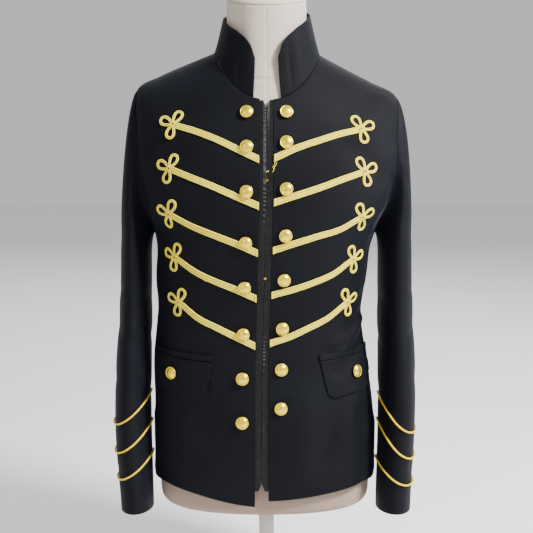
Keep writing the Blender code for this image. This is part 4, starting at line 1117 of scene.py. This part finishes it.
def build_form():
    phi = full_turn(240)
    hem = form_ring(phi, T_HEM)
    middle = hem.mean(axis=0) * (1, 1, 0) + (0, 0, FORM_BOTTOM)
    low = shrunk(hem, FORM_BOTTOM, 0.0145)
    rings = [middle + (low - middle) * share for share in (0.002, 0.3, 0.6, 0.85, 0.95, 1.0)]
    edge = [(0.0004, 0.0115), (0.0014, 0.0088), (0.0030, 0.0062), (0.0055, 0.0040),
            (0.0090, 0.0022), (0.0150, 0.0010), (0.0280, 0.0)]
    rings += [shrunk(hem, FORM_BOTTOM + up, inset) for up, inset in edge]
    rings += [form_ring(phi, t) for t in np.linspace(0.0, T_NECK, 105)]
    necks = np.array(NECK_RINGS)
    foot, head = rings[-1], neck_ring(phi, *necks[0])
    for share, sink in NECK_SEAM:
        rings.append((foot + (head - foot) * share) * (1 - sink, 1 - sink, 1))
    rings.append(head)
    rings += [neck_ring(phi, *(necks[0] + (necks[1] - necks[0]) * u)) for u in (0.33, 0.66, 1.0)]
    rings += [neck_ring(phi, *(necks[1] + (necks[2] - necks[1]) * u)) for u in (0.3, 0.6, 0.9)]
    for drop, inset in ((0.0016, 0.0), (0.0006, 0.0004), (0.0, 0.0012), (0.0, 0.0060)):
        rings.append(neck_ring(phi, *(necks[2] - np.array((drop, inset, inset, 0.0, 0.0)))))
    points = seam_groove(np.array(rings), phi)
    return piece("linen_form", grid_mesh("linen_form", points, closed=True), linen(), "linen",
                 "form_torso")


def build_neck_cap():
    phi = full_turn(120)
    z_mid, half_width, half_depth, y_mid, slope = NECK_RINGS[-1]
    rings = []
    for part in np.sin(np.linspace(0, pi / 2 - 0.02, 24)):
        shrink = np.sqrt(1 - part**2)
        height = z_mid + PART_GAP + NECK_CAP_HEIGHT * part
        rings.append(neck_ring(phi, height, half_width * shrink, half_depth * shrink, y_mid, slope))
    lower = [neck_ring(phi, z_mid + PART_GAP + rise, half_width - inset, half_depth - inset, y_mid, slope)
             for rise, inset in ((0.0, 0.0060), (0.0, 0.0012), (0.0006, 0.0004))]
    points = np.array(lower + rings[1:])
    return piece("neck_cap", grid_mesh("neck_cap", points, closed=True), linen(), "linen",
                 "form_neck_cap")


def build_stand():
    edge = [(BASE_RADIUS - 0.003 + 0.003 * cos(a), BASE_THICK - 0.003 + 0.003 * sin(a))
            for a in np.linspace(pi / 2, 0, 8)]
    profile = [(0.001, BASE_THICK)] + edge + [(BASE_RADIUS, 0.0008), (BASE_RADIUS - 0.0008, 0.0),
                                              (0.001, 0.0)]
    piece("stand_base", turned_mesh("stand_base", profile, 96), paint(), "stand", "form_base")
    low, high = BASE_THICK + PART_GAP, FORM_BOTTOM - PART_GAP
    profile = [(0.001, high), (POLE_RADIUS, high), (POLE_RADIUS, low), (0.001, low)]
    piece("stand_pole", turned_mesh("stand_pole", profile, 48), paint(), "stand", "form_pole")


# Picture

def light(name, place, size, power, colour=(1, 1, 1)):
    """Soft square light that looks at the jacket's middle."""
    lamp = bpy.data.lights.new(name, "AREA")
    lamp.shape = "SQUARE"
    lamp.size = size
    lamp.energy = power
    lamp.color = colour
    made = bpy.data.objects.new(name, lamp)
    made.location = place
    aim = Vector((0.0, 0.0, 0.6)) - Vector(place)
    made.rotation_euler = aim.to_track_quat("-Z", "Y").to_euler()
    bpy.context.scene.collection.objects.link(made)


def build_camera():
    lens = bpy.data.cameras.new("photo_camera")
    lens.sensor_width = SENSOR
    lens.lens = FOCAL_PIXELS / FRAME_PIXELS * SENSOR
    made = bpy.data.objects.new("photo_camera", lens)
    made.location = (0.0, -CAMERA_DISTANCE, CAMERA_HEIGHT)
    made.rotation_euler = (pi / 2 - CAMERA_PITCH, 0.0, 0.0)
    bpy.context.scene.collection.objects.link(made)
    bpy.context.scene.camera = made


def build_studio():
    floor_mesh = bpy.data.meshes.new("studio_floor")
    half = 9.0
    floor_mesh.from_pydata([(-half, -half, 0), (half, -half, 0), (half, half, 0), (-half, half, 0)],
                           [], [(0, 1, 2, 3)])
    floor = bpy.data.objects.new("studio_floor", floor_mesh)
    bpy.context.scene.collection.objects.link(floor)
    made, tree, shader = shader_of("floor_paper", 0.9)
    cloud = noise(tree, coordinates(tree, "Object"), 1.5)
    tree.links.new(blend_colour(tree, cloud, (0.90, 0.90, 0.90), (0.93, 0.93, 0.93)),
                   shader.inputs["Base Color"])
    floor_mesh.materials.append(made)
    world = bpy.data.worlds.new("studio")
    world.use_nodes = True
    world.node_tree.nodes["Background"].inputs["Color"].default_value = (1, 1, 1, 1)
    world.node_tree.nodes["Background"].inputs["Strength"].default_value = 0.62
    bpy.context.scene.world = world
    light("key", (1.5, -0.9, 2.0), 0.45, 150, (1.0, 0.985, 0.96))
    light("fill", (-1.6, -2.4, 1.6), 1.2, 16)
    light("rim", (1.2, 1.8, 2.2), 1.2, 22)
    light("paper", (0.0, 3.0, 3.0), 3.0, 60)


def main():
    build_camera()
    build_form()
    build_neck_cap()
    build_stand()
    build_back()
    build_collar()
    build_eyes()
    for word, side in SIDES.items():
        build_front(word, side)
        build_sleeve(word, side)
        build_tape(word, side)
        build_flap(word, side)
        build_welt(word, side)
        for number, z in enumerate(BUTTON_Z[side], 1):
            x = float(centre_x(z)) + side * BUTTON_HALF
            build_button(f"gold_button_{word}_{number}", x, z, BUTTON_LIFT, f"button_{word}_{number}")
        build_button("gold_pocket_button_" + word, side * POCKET_BUTTON_X[side], POCKET_BUTTON_Z,
                     FLAP_LIFT + FLAP_THICK + 0.0004, "button_pocket_" + word)
        for number, row in enumerate(BRAIDS[side], 1):
            build_braid(word, side, number, dict(zip(BRAID_COLUMNS, row)))
        for number, (low, high) in enumerate(CUFF_CORDS[side], 1):
            build_cuff_cord(word, side, number, low, high)
    build_studio()


main()
